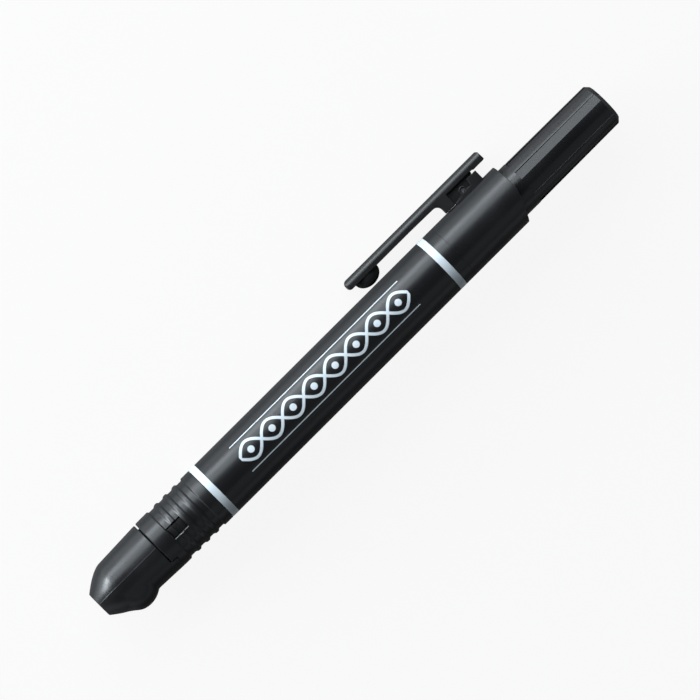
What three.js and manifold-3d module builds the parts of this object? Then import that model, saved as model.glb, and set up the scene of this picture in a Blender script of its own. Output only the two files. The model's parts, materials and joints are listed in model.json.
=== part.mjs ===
// Retractable permanent marker with a shutter that seals the nib, a knock button and a sprung clip.
// Lengths are in millimetres. Inside the pen group X runs along the pen from the nose tip (x = 0)
// to the tail, the clip is on the +Z side and the shutter opens towards -Z, the chin.
import * as THREE from 'three';
import { mergeVertices } from 'three/addons/utils/BufferGeometryUtils.js';
import Module from 'manifold-3d';

// Nib, ink chamber and shutter, from the axis outwards
const nibRadius = 1.1;
const nibTipRadius = 0.45;
const nibTipLength = 1.6;
const nibExposure = 4.5;
const nibFit = 0.1;
const holderWall = 0.5;
const inkClearance = 0.4;
const chamberWall = 0.8;
const sideGap = 0.2;
const earThickness = 0.6;
const armThickness = 0.45;
const trunnionRadius = 0.7;
const trunnionFit = 0.1;
const earRadius = 1.5;
const crankRadius = 1.9;
const crankPinRadius = 0.45;
const crankLobe = 0.85;
const slotClearance = 0.15;
const prongWall = 0.55;

// Shutter lid: a spherical cap that turns about the trunnions
const lidInnerRadius = 5.2;
const lidThickness = 0.8;
const lidHalfAngle = 36;
const lidSwing = 96;
const lidArmHalfHeight = 1.3;
const lidFrontGap = 0.4;
const sweepGap = 0.2;
const gasketThickness = 0.25;
const sealGap = 0.1;

// Walls and fits of the outer housings
const slideGap = 0.1;
const spigotWall = 0.4;
const snapFit = 0.12;
const gripWall = 0.6;
const ribHeight = 0.34;
const barrelWall = 0.8;
const lapWall = 0.35;
const reservoirGap = 0.3;
const reservoirWall = 0.55;
const seamGap = 0.15;
const seatGap = 0.3;

// Nose shell
const noseLength = 16.3;
const noseTipRadius = 2.92;
const noseBoreRadius = 2.0;
const noseFrontWall = 1.3;
const noseWall = 0.67;
const noseTaper = 0.4;
const noseStep = 0.08;
const domeLength = 5.9;
const domeSwell = 3.78;
const chinWall = 1.12;
const chinRadius = 5.35;
const chinFacetReach = 2.28;
const chinFacetAngle = 38.9;
const noseSpigotLength = 9.7;
const tongueLength = 1.8;
const tongueHalfAngle = 47;
const noseSeam = 0.33;
const notchDepth = 0.88;
const notchHalfWidth = 0.36;
const notchHalfSpan = 1.2;

// Grip sleeve
const gripLength = 15.3;
const gripRingLength = 3.35;
const gripRearLength = 2.3;
const gripSpigotLength = 6;
const ribCount = 3;
const ribPitch = 2.54;
const firstRib = 5.77;
const ribHalfWidth = 0.8;
const flankLength = 0.4;
const windowFront = 3.64;
const windowLength = 3.83;
const windowHalfHeight = 1.4;
const snapTabHeight = 0.5;

// Barrel, rear collar and knock button
const barrelLength = 69.4;
const collarLength = 17.37;
const collarSocketDepth = 4.9;
const rimFillet = 0.35;
const rimCutLength = 2.5;
const buttonReach = 26;
const buttonFlangeStep = 0.284;
const buttonFlangeLength = 2.8;
const buttonWall = 0.95;
const buttonEndWall = 2;
const buttonBaseLength = 2.5;
const buttonBaseStep = 0.05;
const buttonDraft = 0.12;
const buttonChamfer = 0.9;
const panelCount = 8;
const panelArc = 22;
const panelRecess = 0.15;
const panelPhase = 19;

// Push mechanism at the tail: crown teeth of the button on a rotor that pushes the ink tube
const stroke = 12;
const toothCount = 8;
const toothHeight = 1;
const toothGap = 0.25;
const guideCount = 4;
const guideHeight = 0.35;
const guideWidth = 1;
const guideLength = 10;
const lugWidth = 1.6;
const rotorLength = 2.4;
const plugFlangeLength = 1.2;
const plugDepth = 3;
const plugPinRadius = 2;

// Ink side: chamber lengths, springs and the ink tube
const flangeThickness = 0.8;
const flangeRadius = 3.6;
const lugHalfWidth = 1;
const frontSpringLength = 5.8;
const springWire = 0.5;
const frontSpringTurns = 4;
const returnSpringTurns = 7;
const carrierRingLength = 2.5;
const carrierRingWall = 1.6;
const chamberStepWall = 0.8;
const chamberRearReach = 3.5;
const neckRadius = 3.1;
const neckBoreGap = 0.3;
const sealSection = 0.35;
const sealGrooveFront = 0.6;
const tankWall = 1;
const wickReach = 2.5;

// Clip, its pin and its spring
const clipOverhang = 0.3;
const clipLength = 38.3;
const clipTop = 4.9;
const clipThickness = 2.25;
const clipRearThickness = 2.12;
const clipHalfWidth = 2.3;
const clipBevelHeight = 0.95;
const clipBevelWidth = 0.9;
const clipEndRound = 0.9;
const clipRearChamfer = 0.65;
const clipRootFillet = 1.3;
const clipTaperLength = 7.8;
const clipTaperDepth = 0.1;
const clipRootLength = 2.44;
const clipRootGap = 0.25;
const clipRootOffset = 12.84;
const gripBallLength = 3.01;
const gripBallDepth = 2.32;
const gripBallHalfWidth = 2.1;
const gripBallOffset = 4.65;
const hingeOffset = 7.3;
const hingeHeight = 1.1;
const clipPinRadius = 0.5;
const clipPinFit = 0.08;
const lugThickness = 0.6;
const hingeBossRadius = 0.8;
const saddleHeight = 0.25;
const saddleRearOffset = 2.7;
const saddleFrontReach = 2.7;
const rearBlockHeight = 2.15;
const rearBlockLength = 2.7;
const rearWallThickness = 0.55;
const cheekInner = 0.85;
const cheekOuter = 1.5;
const cheekRadius = 0.95;
const pocketDepth = 0.3;
const clipSpringWire = 0.24;
const clipSpringTurns = 3;

// Facets
const housingSides = 36;
const innerSides = 24;
const chinSides = 28;
const smallSides = 16;
const springSides = 5;
const springSteps = 14;
const weldTolerance = 1e-4;
const cutReach = 2;

// Radii worked out from the stack above
const holderBore = nibRadius + nibFit;
const holderRadius = holderBore + holderWall;
const chamberBore = holderRadius + inkClearance;
const chamberRadius = chamberBore + chamberWall;
const earInner = chamberRadius + sideGap;
const earOuter = earInner + earThickness;
const armInner = earOuter + sideGap;
const armOuter = armInner + armThickness;
const armTop = crankRadius + crankPinRadius;
const spigotBore = Math.hypot(armOuter, armTop) + slideGap;
const spigotRadius = spigotBore + spigotWall;
const gripBore = spigotRadius + snapFit;
const valleyRadius = gripBore + gripWall;
const barrelRadius = valleyRadius + ribHeight;
const noseRearRadius = barrelRadius - noseStep;
const domeRadius = noseRearRadius - noseTaper;
const cavityRadius = domeRadius - noseWall;
const lidOuterRadius = lidInnerRadius + lidThickness;
const sweepRadius = lidOuterRadius + sweepGap;
const barrelBore = barrelRadius - barrelWall;
const gripSpigotRadius = barrelBore - snapFit;
const gripSpigotBore = gripSpigotRadius - spigotWall;
const reservoirRadius = gripSpigotBore - reservoirGap;
const reservoirBore = reservoirRadius - reservoirWall;
const barrelSpigotRadius = barrelBore + lapWall;
const collarSocket = barrelSpigotRadius + snapFit;
const flangeOuter = barrelBore - slideGap;
const buttonRadius = flangeOuter - buttonFlangeStep;
const collarBore = buttonRadius + slideGap;
const buttonBore = buttonRadius - buttonWall;
const guideInner = barrelBore - guideHeight;
const rotorRadius = guideInner - slideGap;
const neckBore = neckRadius + neckBoreGap;
const carrierRingOuter = chamberRadius + sideGap + carrierRingWall;
const returnSpringRadius = spigotBore - slideGap - springWire / 2;
const chamberRearRadius = returnSpringRadius - springWire / 2 - 2 * slideGap;
const frontSpringRadius = chamberRadius + 1.5 * slideGap + springWire / 2;

// Stations along the pen
const pivotX = noseFrontWall + lidFrontGap + lidOuterRadius;
const crankLead = THREE.MathUtils.degToRad(lidSwing / 2);
const crankX = pivotX + crankRadius * Math.sin(crankLead);
const crankZ = crankRadius * Math.cos(crankLead);
const flangeX = crankX + crankLobe + lidFrontGap;
const ringX = flangeX + flangeThickness + frontSpringLength;
const ringRearX = ringX + carrierRingLength;
const boreStepX = ringRearX + 2 * chamberStepWall;
const neckX = boreStepX + stroke + seatGap;
const chamberRearX = neckX + chamberRearReach;
const reservoirX = chamberRearX + stroke + seatGap;
const nibTipX = stroke - nibExposure + seatGap;
const holderX = nibTipX + nibExposure;
const gripX = noseLength + noseSeam;
const gripRearX = gripX + gripLength;
const barrelX = gripRearX + seamGap;
const barrelRearX = barrelX + barrelLength;
const collarX = barrelRearX + seamGap;
const collarRearX = collarX + collarLength;
const collarStepX = collarX + collarSocketDepth;
const buttonEndX = collarRearX + buttonReach;
const flangeRearX = collarStepX - seatGap;
const flangeFrontX = flangeRearX - buttonFlangeLength;
const crownX = flangeFrontX - toothHeight;
const rotorRearX = crownX - toothGap;
const rotorX = rotorRearX - rotorLength;
const plugRearX = rotorX - seatGap;
const reservoirRearX = plugRearX - plugFlangeLength - seatGap;
const plugFrontX = reservoirRearX - plugDepth;
const hingeX = collarRearX - hingeOffset;
const hingeZ = barrelRadius + hingeHeight;
const clipRearX = collarRearX + clipOverhang;
const clipFrontX = clipRearX - clipLength;
const clipTopZ = barrelRadius + clipTop;
const clipUnderZ = clipTopZ - clipThickness;
const clipRootX = collarRearX - clipRootOffset;

const wasm = await Module();
wasm.setup();

// Welds a closed geometry into a solid, without the collapsed triangles at a lathe's axis
function solidOf(geometry) {
	geometry.deleteAttribute('normal');
	geometry.deleteAttribute('uv');
	const welded = mergeVertices(geometry, weldTolerance);
	const corners = welded.index.array;
	const kept = [];
	for (let i = 0; i < corners.length; i += 3) {
		const [a, b, c] = [corners[i], corners[i + 1], corners[i + 2]];
		if (a !== b && b !== c && c !== a) kept.push(a, b, c);
	}
	const triVerts = Uint32Array.from(kept);
	const vertProperties = Float32Array.from(welded.attributes.position.array);
	return new wasm.Manifold(new wasm.Mesh({ numProp: 3, vertProperties, triVerts }));
}

// Geometry of a finished solid
function geometryOf(solid) {
	const mesh = solid.getMesh();
	const geometry = new THREE.BufferGeometry();
	geometry.setAttribute('position', new THREE.BufferAttribute(mesh.vertProperties, 3));
	geometry.setIndex(new THREE.BufferAttribute(mesh.triVerts, 1));
	geometry.computeVertexNormals();
	return geometry;
}

function joined(solids) {
	return solids.reduce((whole, solid) => whole.add(solid));
}

// Revolves a profile of [x, radius] points about the pen axis
function turned(profile, sides) {
	const points = profile.map(([x, radius]) => new THREE.Vector2(radius, x));
	if (THREE.ShapeUtils.isClockWise(points)) points.reverse();
	const first = points[0];
	const last = points[points.length - 1];
	if (first.x > 0 || last.x > 0) points.push(first.clone());
	return solidOf(new THREE.LatheGeometry(points, sides).rotateZ(-Math.PI / 2));
}

function shapeOf(points) {
	return new THREE.Shape(points.map(([u, v]) => new THREE.Vector2(u, v)));
}

function circleShape(u, v, radius) {
	return new THREE.Shape().absarc(u, v, radius, 0, 2 * Math.PI);
}

function extrusion(shape, depth) {
	return new THREE.ExtrudeGeometry(shape, { depth, bevelEnabled: false, curveSegments: smallSides / 2 });
}

// Plate with an outline in the XZ plane, from y = low to y = high
function plate(shape, low, high) {
	return solidOf(extrusion(shape, high - low).rotateX(Math.PI / 2).translate(0, high, 0));
}

// The same plate on both sides of the pen's middle plane
function platePair(shape, low, high) {
	return plate(shape, low, high).add(plate(shape, -high, -low));
}

// Bar with an outline in the YZ plane, from x = low to x = high
function bar(shape, low, high) {
	const axes = new THREE.Matrix4().makeBasis(
		new THREE.Vector3(0, 1, 0), new THREE.Vector3(0, 0, 1), new THREE.Vector3(1, 0, 0));
	return solidOf(extrusion(shape, high - low).applyMatrix4(axes).translate(low, 0, 0));
}

function box(xLow, xHigh, yLow, yHigh, zLow, zHigh) {
	const geometry = new THREE.BoxGeometry(xHigh - xLow, yHigh - yLow, zHigh - zLow);
	return solidOf(geometry.translate((xLow + xHigh) / 2, (yLow + yHigh) / 2, (zLow + zHigh) / 2));
}

function ball(x, z, radius, sides) {
	return solidOf(new THREE.SphereGeometry(radius, sides, sides / 2).rotateX(Math.PI / 2).translate(x, 0, z));
}

// Points of a circular arc in the [x, z] plane, angles in degrees
function arc(x, z, radius, from, to, steps) {
	const points = [];
	for (let i = 0; i <= steps; i++) {
		const angle = THREE.MathUtils.degToRad(from + (to - from) * i / steps);
		points.push([x + radius * Math.cos(angle), z + radius * Math.sin(angle)]);
	}
	return points;
}

// Points of a quadratic curve between two points of a profile
function swell(from, control, to, steps) {
	const curve = new THREE.QuadraticBezierCurve(
		new THREE.Vector2(...from), new THREE.Vector2(...control), new THREE.Vector2(...to));
	return curve.getPoints(steps).map((point) => [point.x, point.y]);
}

// Wedge about the -Z side of the axis, used to cut a sector out of a ring
function chinWedge(halfAngle, reach, low, high) {
	const angle = THREE.MathUtils.degToRad(halfAngle);
	const side = reach * Math.tan(angle);
	return bar(shapeOf([[0, 0], [-side, -reach], [side, -reach]]), low, high);
}

// Prisms set round the axis: an [x, y] outline pushed outwards from one radius to another
function roundAxis(points, low, high, count, phase) {
	const solids = [];
	for (let i = 0; i < count; i++) {
		const angle = THREE.MathUtils.degToRad(phase + 360 * i / count);
		const geometry = extrusion(shapeOf(points), high - low).translate(0, 0, low).rotateX(angle);
		solids.push(solidOf(geometry));
	}
	return joined(solids);
}

class Helix extends THREE.Curve {
	constructor(radius, length, turns) {
		super();
		this.radius = radius;
		this.length = length;
		this.turns = turns;
	}

	getPoint(t, target = new THREE.Vector3()) {
		const angle = 2 * Math.PI * this.turns * t;
		return target.set(this.length * t, this.radius * Math.cos(angle), this.radius * Math.sin(angle));
	}
}

// Round wire wound along +X
function coil(radius, wire, length, turns) {
	const section = new THREE.Shape(new THREE.EllipseCurve(0, 0, wire / 2, wire / 2).getPoints(springSides).slice(1));
	const steps = Math.round(turns * springSteps);
	const extrudePath = new Helix(radius, length, turns);
	return new THREE.ExtrudeGeometry(section, { steps, extrudePath, bevelEnabled: false });
}

function noseShell() {
	const outer = swell([0, noseTipRadius], [domeSwell, domeRadius - noseStep], [domeLength, domeRadius], 8);
	const rear = noseLength + noseSpigotLength;
	const shoulder = noseLength - noseWall;
	const inner = swell([noseFrontWall, noseTipRadius - seatGap],
		[domeSwell + spigotWall, cavityRadius - slideGap], [domeLength + spigotWall, cavityRadius], 4);
	const profile = [
		...outer,
		[noseLength, noseRearRadius],
		[noseLength, spigotRadius],
		[rear - spigotWall, spigotRadius],
		[rear, spigotRadius - spigotWall / 2],
		[rear, spigotBore],
		[shoulder, spigotBore],
		[shoulder - noseWall, cavityRadius],
		...inner.reverse(),
		[noseFrontWall, noseBoreRadius],
		[0, noseBoreRadius],
	];
	const shell = turned(profile, housingSides);
	const chin = chinBall().subtract(turned([[0, 0], [noseLength, 0], [noseLength, cavityRadius],
		...inner, [0, noseTipRadius - seatGap]], housingSides));
	return joined([shell, chin, tongue(), snapTabs()]).subtract(sweptHollow()).subtract(seamNotch());
}

// Round chin that makes room for the open lid, with a flat flank towards the nib
function chinBall() {
	const centreZ = chinRadius - sweepRadius - chinWall;
	const facetX = pivotX - chinFacetReach;
	const facetZ = centreZ - Math.sqrt(chinRadius ** 2 - chinFacetReach ** 2);
	const run = 2 * chinRadius;
	const rise = run * Math.tan(THREE.MathUtils.degToRad(chinFacetAngle));
	const flank = shapeOf([[facetX - run, facetZ + rise], [facetX - run, facetZ - rise],
		[facetX + run, facetZ - rise]]);
	return ball(pivotX, centreZ, chinRadius, chinSides).subtract(plate(flank, -run, run));
}

// Room that the lid sweeps between its closed and its open place
function sweptHollow() {
	const reach = sweepRadius + cutReach;
	const keep = box(pivotX - reach, pivotX + reach, -armInner, armInner, -reach, 0);
	return ball(pivotX, 0, sweepRadius, innerSides).intersect(keep);
}

// Tongue on the chin side that keys the nose into the grip
function tongue() {
	const ring = turned([[noseLength - noseWall, spigotBore], [noseLength + tongueLength, spigotBore],
		[noseLength + tongueLength, noseRearRadius], [noseLength - noseWall, noseRearRadius - noseStep / 2]],
	housingSides);
	return ring.intersect(chinWedge(tongueHalfAngle, 2 * barrelRadius, 0, gripRearX));
}

// Small V on the clip side where nose and grip meet
function seamNotch() {
	const middle = noseLength + noseSeam / 2;
	const top = barrelRadius + cutReach;
	const spread = notchHalfWidth * (notchDepth + cutReach) / notchDepth;
	const outline = shapeOf([[middle, barrelRadius - notchDepth], [middle - spread, top], [middle + spread, top]]);
	return plate(outline, -notchHalfSpan, notchHalfSpan);
}

// Sprung tabs of the nose that snap into the windows of the grip
function snapTabs() {
	const front = gripX + windowFront + seatGap;
	const rear = gripX + windowFront + windowLength - seatGap;
	const ledge = front + (rear - front) / 3;
	const root = (spigotBore + spigotRadius) / 2;
	const top = spigotRadius + snapTabHeight;
	const low = top - snapTabHeight / 2;
	const half = windowHalfHeight - seatGap;
	const outline = [[front, root], [front, top], [ledge, top], [ledge, low], [rear, spigotRadius + snapFit],
		[rear, root]];
	const tabs = [1, -1].map((side) => {
		const shape = shapeOf(outline.map(([x, y]) => [x, side * y]));
		return solidOf(extrusion(shape, 2 * half).translate(0, 0, -half));
	});
	return joined(tabs);
}

function gripSleeve() {
	const ringEnd = gripX + gripRingLength;
	const rearStart = gripRearX - gripRearLength;
	const spigotEnd = gripRearX + gripSpigotLength;
	const innerStep = rearStart + ribHalfWidth;
	const profile = [
		[gripX, gripBore],
		[gripX, barrelRadius - seamGap],
		[gripX + seamGap, barrelRadius],
		[ringEnd, barrelRadius],
		[ringEnd + flankLength, valleyRadius],
		...gripRibs(),
		[rearStart - flankLength / 2, valleyRadius],
		[rearStart, barrelRadius],
		[gripRearX, barrelRadius],
		[gripRearX, gripSpigotRadius],
		[spigotEnd - spigotWall, gripSpigotRadius],
		[spigotEnd, gripSpigotRadius - spigotWall / 2],
		[spigotEnd, gripSpigotBore],
		[innerStep, gripSpigotBore],
		[innerStep - gripWall, gripBore],
	];
	const windowX = gripX + windowFront;
	const window = box(windowX, windowX + windowLength, -barrelRadius - cutReach, barrelRadius + cutReach,
		-windowHalfHeight, windowHalfHeight);
	const socketAngle = tongueHalfAngle + THREE.MathUtils.radToDeg(noseSeam / barrelRadius);
	const socket = chinWedge(socketAngle, 2 * barrelRadius, 0, noseLength + tongueLength + seamGap);
	return turned(profile, housingSides).subtract(window).subtract(socket).subtract(seamNotch());
}

// Rounded grip ribs as profile points
function gripRibs() {
	const points = [];
	for (let i = 0; i < ribCount; i++) {
		const centre = gripX + firstRib + i * ribPitch;
		for (const share of [-1, -0.5, 0, 0.5, 1]) {
			const lift = ribHeight * Math.cos(share * Math.PI / 2);
			points.push([centre + share * ribHalfWidth, valleyRadius + lift]);
		}
	}
	return points;
}

function barrelTube() {
	const spigotEnd = collarStepX - seatGap;
	const shell = turned([
		[barrelX, barrelBore],
		[barrelX, barrelRadius],
		[barrelRearX, barrelRadius],
		[barrelRearX, barrelSpigotRadius],
		[spigotEnd, barrelSpigotRadius],
		[spigotEnd, barrelBore],
	], housingSides);
	const guideEnd = collarX + seatGap;
	const half = guideWidth / 2;
	const outline = [[guideEnd - guideLength, -half], [guideEnd, -half], [guideEnd, half],
		[guideEnd - guideLength, half]];
	return shell.add(roundAxis(outline, guideInner, barrelBore + lapWall, guideCount, 0));
}

function rearCollar() {
	const shell = turned([
		[collarX, collarSocket],
		[collarX, barrelRadius],
		[collarRearX - rimFillet, barrelRadius],
		[collarRearX - rimFillet / 4, barrelRadius - rimFillet / 4],
		[collarRearX, barrelRadius - rimFillet],
		[collarRearX, collarBore],
		[collarStepX, collarBore],
		[collarStepX, collarSocket],
	], housingSides);
	const reach = barrelRadius + cutReach;
	const rimCut = shapeOf([[collarRearX, 0], [collarRearX - rimCutLength * reach / barrelRadius, -reach],
		[collarRearX + cutReach, -reach], [collarRearX + cutReach, 0]]);
	return shell.add(hingeLugs()).subtract(hingePocket()).subtract(plate(rimCut, -reach, reach));
}

// Raised seat on the collar whose two lugs hold the clip pin
function hingeLugs() {
	const rear = collarRearX - saddleRearOffset;
	const front = hingeX - saddleFrontReach;
	const blockFront = rear - rearBlockLength;
	const floor = barrelRadius - 2 * pocketDepth;
	const saddleTop = barrelRadius + saddleHeight;
	const valley = saddleTop + saddleHeight;
	const blockTop = barrelRadius + rearBlockHeight;
	const lugs = shapeOf([[front, floor], [front + saddleHeight, saddleTop], [hingeX - 2 * hingeBossRadius, saddleTop],
		...arc(hingeX, hingeZ, hingeBossRadius, 150, 0, 6), [hingeX + hingeBossRadius + saddleHeight, valley],
		[blockFront, valley], [blockFront + saddleHeight, blockTop], [rear, blockTop], [rear, floor]]);
	const pair = platePair(lugs, clipHalfWidth - lugThickness, clipHalfWidth);
	const wall = box(rear - rearWallThickness, rear, -clipHalfWidth, clipHalfWidth, floor, blockTop);
	const holes = plate(circleShape(hingeX, hingeZ, clipPinRadius + clipPinFit / 2), -clipHalfWidth - cutReach,
		clipHalfWidth + cutReach);
	return pair.add(wall).subtract(holes);
}

// Shallow pocket between the lugs that leaves room for the clip spring
function hingePocket() {
	const inner = clipHalfWidth - lugThickness;
	const rear = collarRearX - saddleRearOffset - rearWallThickness;
	return box(hingeX - saddleFrontReach, rear, -inner, inner, barrelRadius - pocketDepth, barrelRadius + pocketDepth);
}

function clipPin() {
	const half = clipHalfWidth - slideGap;
	return plate(circleShape(hingeX, hingeZ, clipPinRadius), -half, half);
}

// Torsion spring round the clip pin, one leg on the collar and one under the clip
function clipSpring() {
	const wireHalf = clipSpringWire / 2;
	const radius = clipPinRadius + clipPinFit + clipSpringWire;
	const reach = cheekInner - slideGap - wireHalf;
	const wound = coil(radius, clipSpringWire, 2 * reach, clipSpringTurns);
	wound.translate(-reach, 0, 0).rotateZ(Math.PI / 2).translate(hingeX, 0, hingeZ);
	const legX = hingeX - radius;
	const leg = box(legX - wireHalf, legX + wireHalf, -reach - wireHalf, -reach + wireHalf,
		barrelRadius + slideGap, hingeZ);
	return solidOf(wound).add(leg);
}

function clip() {
	const fillet = clipRootFillet;
	const rearUnder = clipTopZ - clipRearThickness;
	const rootBottom = barrelRadius + clipRootGap;
	const side = shapeOf([
		...arc(clipFrontX + clipEndRound, clipTopZ - clipEndRound, clipEndRound, 90, 180, 4),
		...arc(clipFrontX + clipEndRound, clipUnderZ + clipEndRound, clipEndRound, 180, 270, 4),
		[clipRootX - clipTaperLength, clipUnderZ],
		...arc(clipRootX - fillet, clipUnderZ - clipTaperDepth - fillet, fillet, 90, 0, 5),
		[clipRootX, rootBottom],
		[clipRootX + clipRootLength, rootBottom],
		[clipRootX + clipRootLength, rearUnder],
		[clipRearX, rearUnder],
		[clipRearX - slideGap, clipTopZ - clipRearChamfer],
		[clipRearX - clipRearChamfer, clipTopZ],
	]);
	const body = plate(side, -clipHalfWidth, clipHalfWidth);
	const envelope = bar(clipSection(), clipFrontX - cutReach, clipRearX + cutReach);
	return joined([body, gripBall(), cheeks()]).intersect(envelope);
}

// Cross-section of the clip bar, its upper edges rounded over
function clipSection() {
	const crown = clipSectionEdge();
	const mirrored = crown.map(([y, z]) => [-y, z]).reverse();
	return shapeOf([[clipHalfWidth, 0], ...crown, ...mirrored, [-clipHalfWidth, 0]]);
}

function clipSectionEdge() {
	const points = [];
	for (let i = 0; i <= 4; i++) {
		const angle = i * Math.PI / 8;
		points.push([clipHalfWidth - clipBevelWidth * (1 - Math.cos(angle)),
			clipTopZ - clipBevelHeight * (1 - Math.sin(angle))]);
	}
	return points;
}

// Half-ball under the free end that presses on what the clip holds
function gripBall() {
	const geometry = new THREE.SphereGeometry(1, innerSides, innerSides / 2).rotateX(Math.PI / 2);
	geometry.scale(gripBallLength, gripBallHalfWidth, gripBallDepth);
	const centreX = clipFrontX + gripBallOffset;
	const reach = gripBallLength + cutReach;
	const below = box(centreX - reach, centreX + reach, -reach, reach, 0, clipUnderZ + clipThickness / 3);
	return solidOf(geometry.translate(centreX, 0, clipUnderZ)).intersect(below);
}

// Two cheeks of the clip that turn on the pin between the collar's lugs
function cheeks() {
	const low = hingeZ - cheekRadius;
	const high = clipTopZ - clipRearThickness + slideGap;
	const rear = collarRearX - saddleRearOffset - rearWallThickness - seatGap;
	const front = clipRootX + clipRootLength - slideGap;
	const outline = shapeOf([[front, low], ...arc(hingeX, hingeZ, cheekRadius, 270, 330, 4),
		[rear, high - seatGap], [rear, high], [front, high]]);
	outline.holes.push(new THREE.Path().absarc(hingeX, hingeZ, clipPinRadius + clipPinFit, 0, 2 * Math.PI));
	return platePair(outline, cheekInner, cheekOuter);
}

function knockButton() {
	const baseEnd = collarRearX + buttonBaseLength;
	const flutedRadius = buttonRadius - buttonBaseStep;
	const tailRadius = flutedRadius - buttonDraft;
	const body = turned([
		[crownX, buttonBore],
		[crownX, rotorRadius],
		[flangeFrontX, rotorRadius],
		[flangeFrontX, flangeOuter],
		[flangeRearX, flangeOuter],
		[flangeRearX, buttonRadius],
		[baseEnd, buttonRadius],
		[baseEnd, flutedRadius],
		[buttonEndX - buttonChamfer, tailRadius],
		[buttonEndX, tailRadius - buttonChamfer],
		[buttonEndX, 0],
		[buttonEndX - buttonEndWall, 0],
		[buttonEndX - buttonEndWall, buttonBore],
	], housingSides);
	const arcHalf = THREE.MathUtils.degToRad(panelArc / 2);
	const floor = tailRadius * Math.cos(arcHalf) - panelRecess;
	const half = flutedRadius * Math.sin(arcHalf);
	const panelEnd = buttonEndX - buttonChamfer + buttonBaseStep;
	const outline = [[baseEnd, -half], [panelEnd, -half], [panelEnd, half], [baseEnd, half]];
	const panels = roundAxis(outline, floor, buttonRadius + cutReach, panelCount, 90 - panelPhase);
	const keyHalf = guideWidth / 2 + slideGap;
	const keyway = [[flangeFrontX - slideGap, -keyHalf], [flangeRearX + slideGap, -keyHalf],
		[flangeRearX + slideGap, keyHalf], [flangeFrontX - slideGap, keyHalf]];
	const keyways = roundAxis(keyway, guideInner - slideGap, barrelRadius, guideCount, 0);
	return body.subtract(panels).subtract(keyways).subtract(crownTeeth(toothGap, 0));
}

// Ring of pointed teeth that face the tail; spread widens each one into the notch that it enters
function crownTeeth(spread, base) {
	const pitch = 2 * Math.PI * rotorRadius / toothCount;
	const half = pitch / 2 - toothGap - base + spread;
	const outline = [[rotorRearX - base, -half], [rotorRearX - base, half],
		[rotorRearX + toothHeight + spread, 0]];
	return roundAxis(outline, buttonBore - cutReach / 2, rotorRadius + slideGap, toothCount, 0);
}

// Rotor that the button's crown turns and pushes, guided by lugs between the barrel's ribs
function camRotor() {
	const bore = plugPinRadius + slideGap;
	const ring = turned([[rotorX, bore], [rotorX, rotorRadius], [rotorRearX, rotorRadius], [rotorRearX, bore]],
		innerSides);
	const half = lugWidth / 2;
	const outline = [[rotorX, -half], [rotorRearX, -half], [rotorRearX, half], [rotorX, half]];
	const lugs = roundAxis(outline, rotorRadius - guideHeight, flangeOuter - slideGap, guideCount, 180 / guideCount);
	const crownRing = turned([[rotorX, buttonBore + slideGap], [rotorX, rotorRadius - slideGap],
		[flangeFrontX, rotorRadius - slideGap], [flangeFrontX, buttonBore + slideGap]], innerSides);
	return joined([ring, lugs, crownTeeth(0, toothGap).intersect(crownRing)]);
}

// Plug that closes the ink tube and carries the rotor on its pin
function reservoirPlug() {
	const pinEnd = rotorRearX - slideGap;
	const flangeX1 = plugRearX - plugFlangeLength;
	return turned([[plugFrontX, 0], [plugFrontX, reservoirBore - slideGap], [flangeX1, reservoirBore - slideGap],
		[flangeX1, reservoirRadius], [plugRearX, reservoirRadius], [plugRearX, plugPinRadius],
		[pinEnd, plugPinRadius], [pinEnd, 0]], innerSides);
}

function reservoirTube() {
	const hole = tankHole();
	return turned([[reservoirX, hole], [reservoirX, reservoirRadius], [reservoirRearX, reservoirRadius],
		[reservoirRearX, reservoirBore], [reservoirX + tankWall, reservoirBore], [reservoirX + tankWall, hole]],
	innerSides);
}

function tankHole() {
	return holderBore + 2 * holderWall + slideGap;
}

function inkCore() {
	const front = reservoirX + tankWall + seatGap;
	const rear = plugFrontX - seatGap;
	const radius = reservoirBore - slideGap;
	const hole = nibRadius + nibFit;
	return turned([[front, hole], [front, radius], [rear, radius], [rear, 0],
		[front + wickReach + seatGap, 0], [front + wickReach + seatGap, hole]], innerSides);
}

function nibHolder() {
	const neckEnd = reservoirX - seatGap;
	const spigotEnd = reservoirX + tankWall;
	const grooveX = neckX + sealGrooveFront;
	const grooveEnd = grooveX + 2 * sealSection + 2 * slideGap;
	const grooveRadius = neckBore - slideGap - 2 * sealSection - slideGap;
	return turned([[holderX, holderBore], [holderX, holderRadius - nibFit], [holderX + nibFit, holderRadius],
		[neckX, holderRadius], [neckX, neckRadius], [grooveX, neckRadius], [grooveX, grooveRadius],
		[grooveEnd, grooveRadius], [grooveEnd, neckRadius], [neckEnd, neckRadius],
		[neckEnd, tankHole() - slideGap], [spigotEnd, tankHole() - slideGap], [spigotEnd, holderBore]], innerSides);
}

function neckSeal() {
	const centreX = neckX + sealGrooveFront + sealSection + slideGap;
	const ringRadius = neckBore - slideGap - sealSection;
	const geometry = new THREE.TorusGeometry(ringRadius, sealSection, 6, innerSides);
	return solidOf(geometry.rotateY(Math.PI / 2).translate(centreX, 0, 0));
}

function nib() {
	const rear = reservoirX + tankWall + seatGap + wickReach;
	const tip = swell([nibTipX, nibTipRadius], [nibTipX + nibTipLength / 3, nibRadius],
		[nibTipX + nibTipLength, nibRadius], 4);
	return turned([[nibTipX, 0], ...tip, [rear, nibRadius], [rear, 0]], smallSides);
}

function returnSpring() {
	const low = ringRearX + seatGap;
	const length = reservoirX - low - seatGap - springWire;
	return solidOf(coil(returnSpringRadius, springWire, length, returnSpringTurns)
		.translate(low + springWire / 2, 0, 0));
}

function frontSpring() {
	const low = flangeX + flangeThickness + seatGap;
	const length = ringX - low - seatGap - springWire;
	return solidOf(coil(frontSpringRadius, springWire, length, frontSpringTurns)
		.translate(low + springWire / 2, 0, 0));
}

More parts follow.
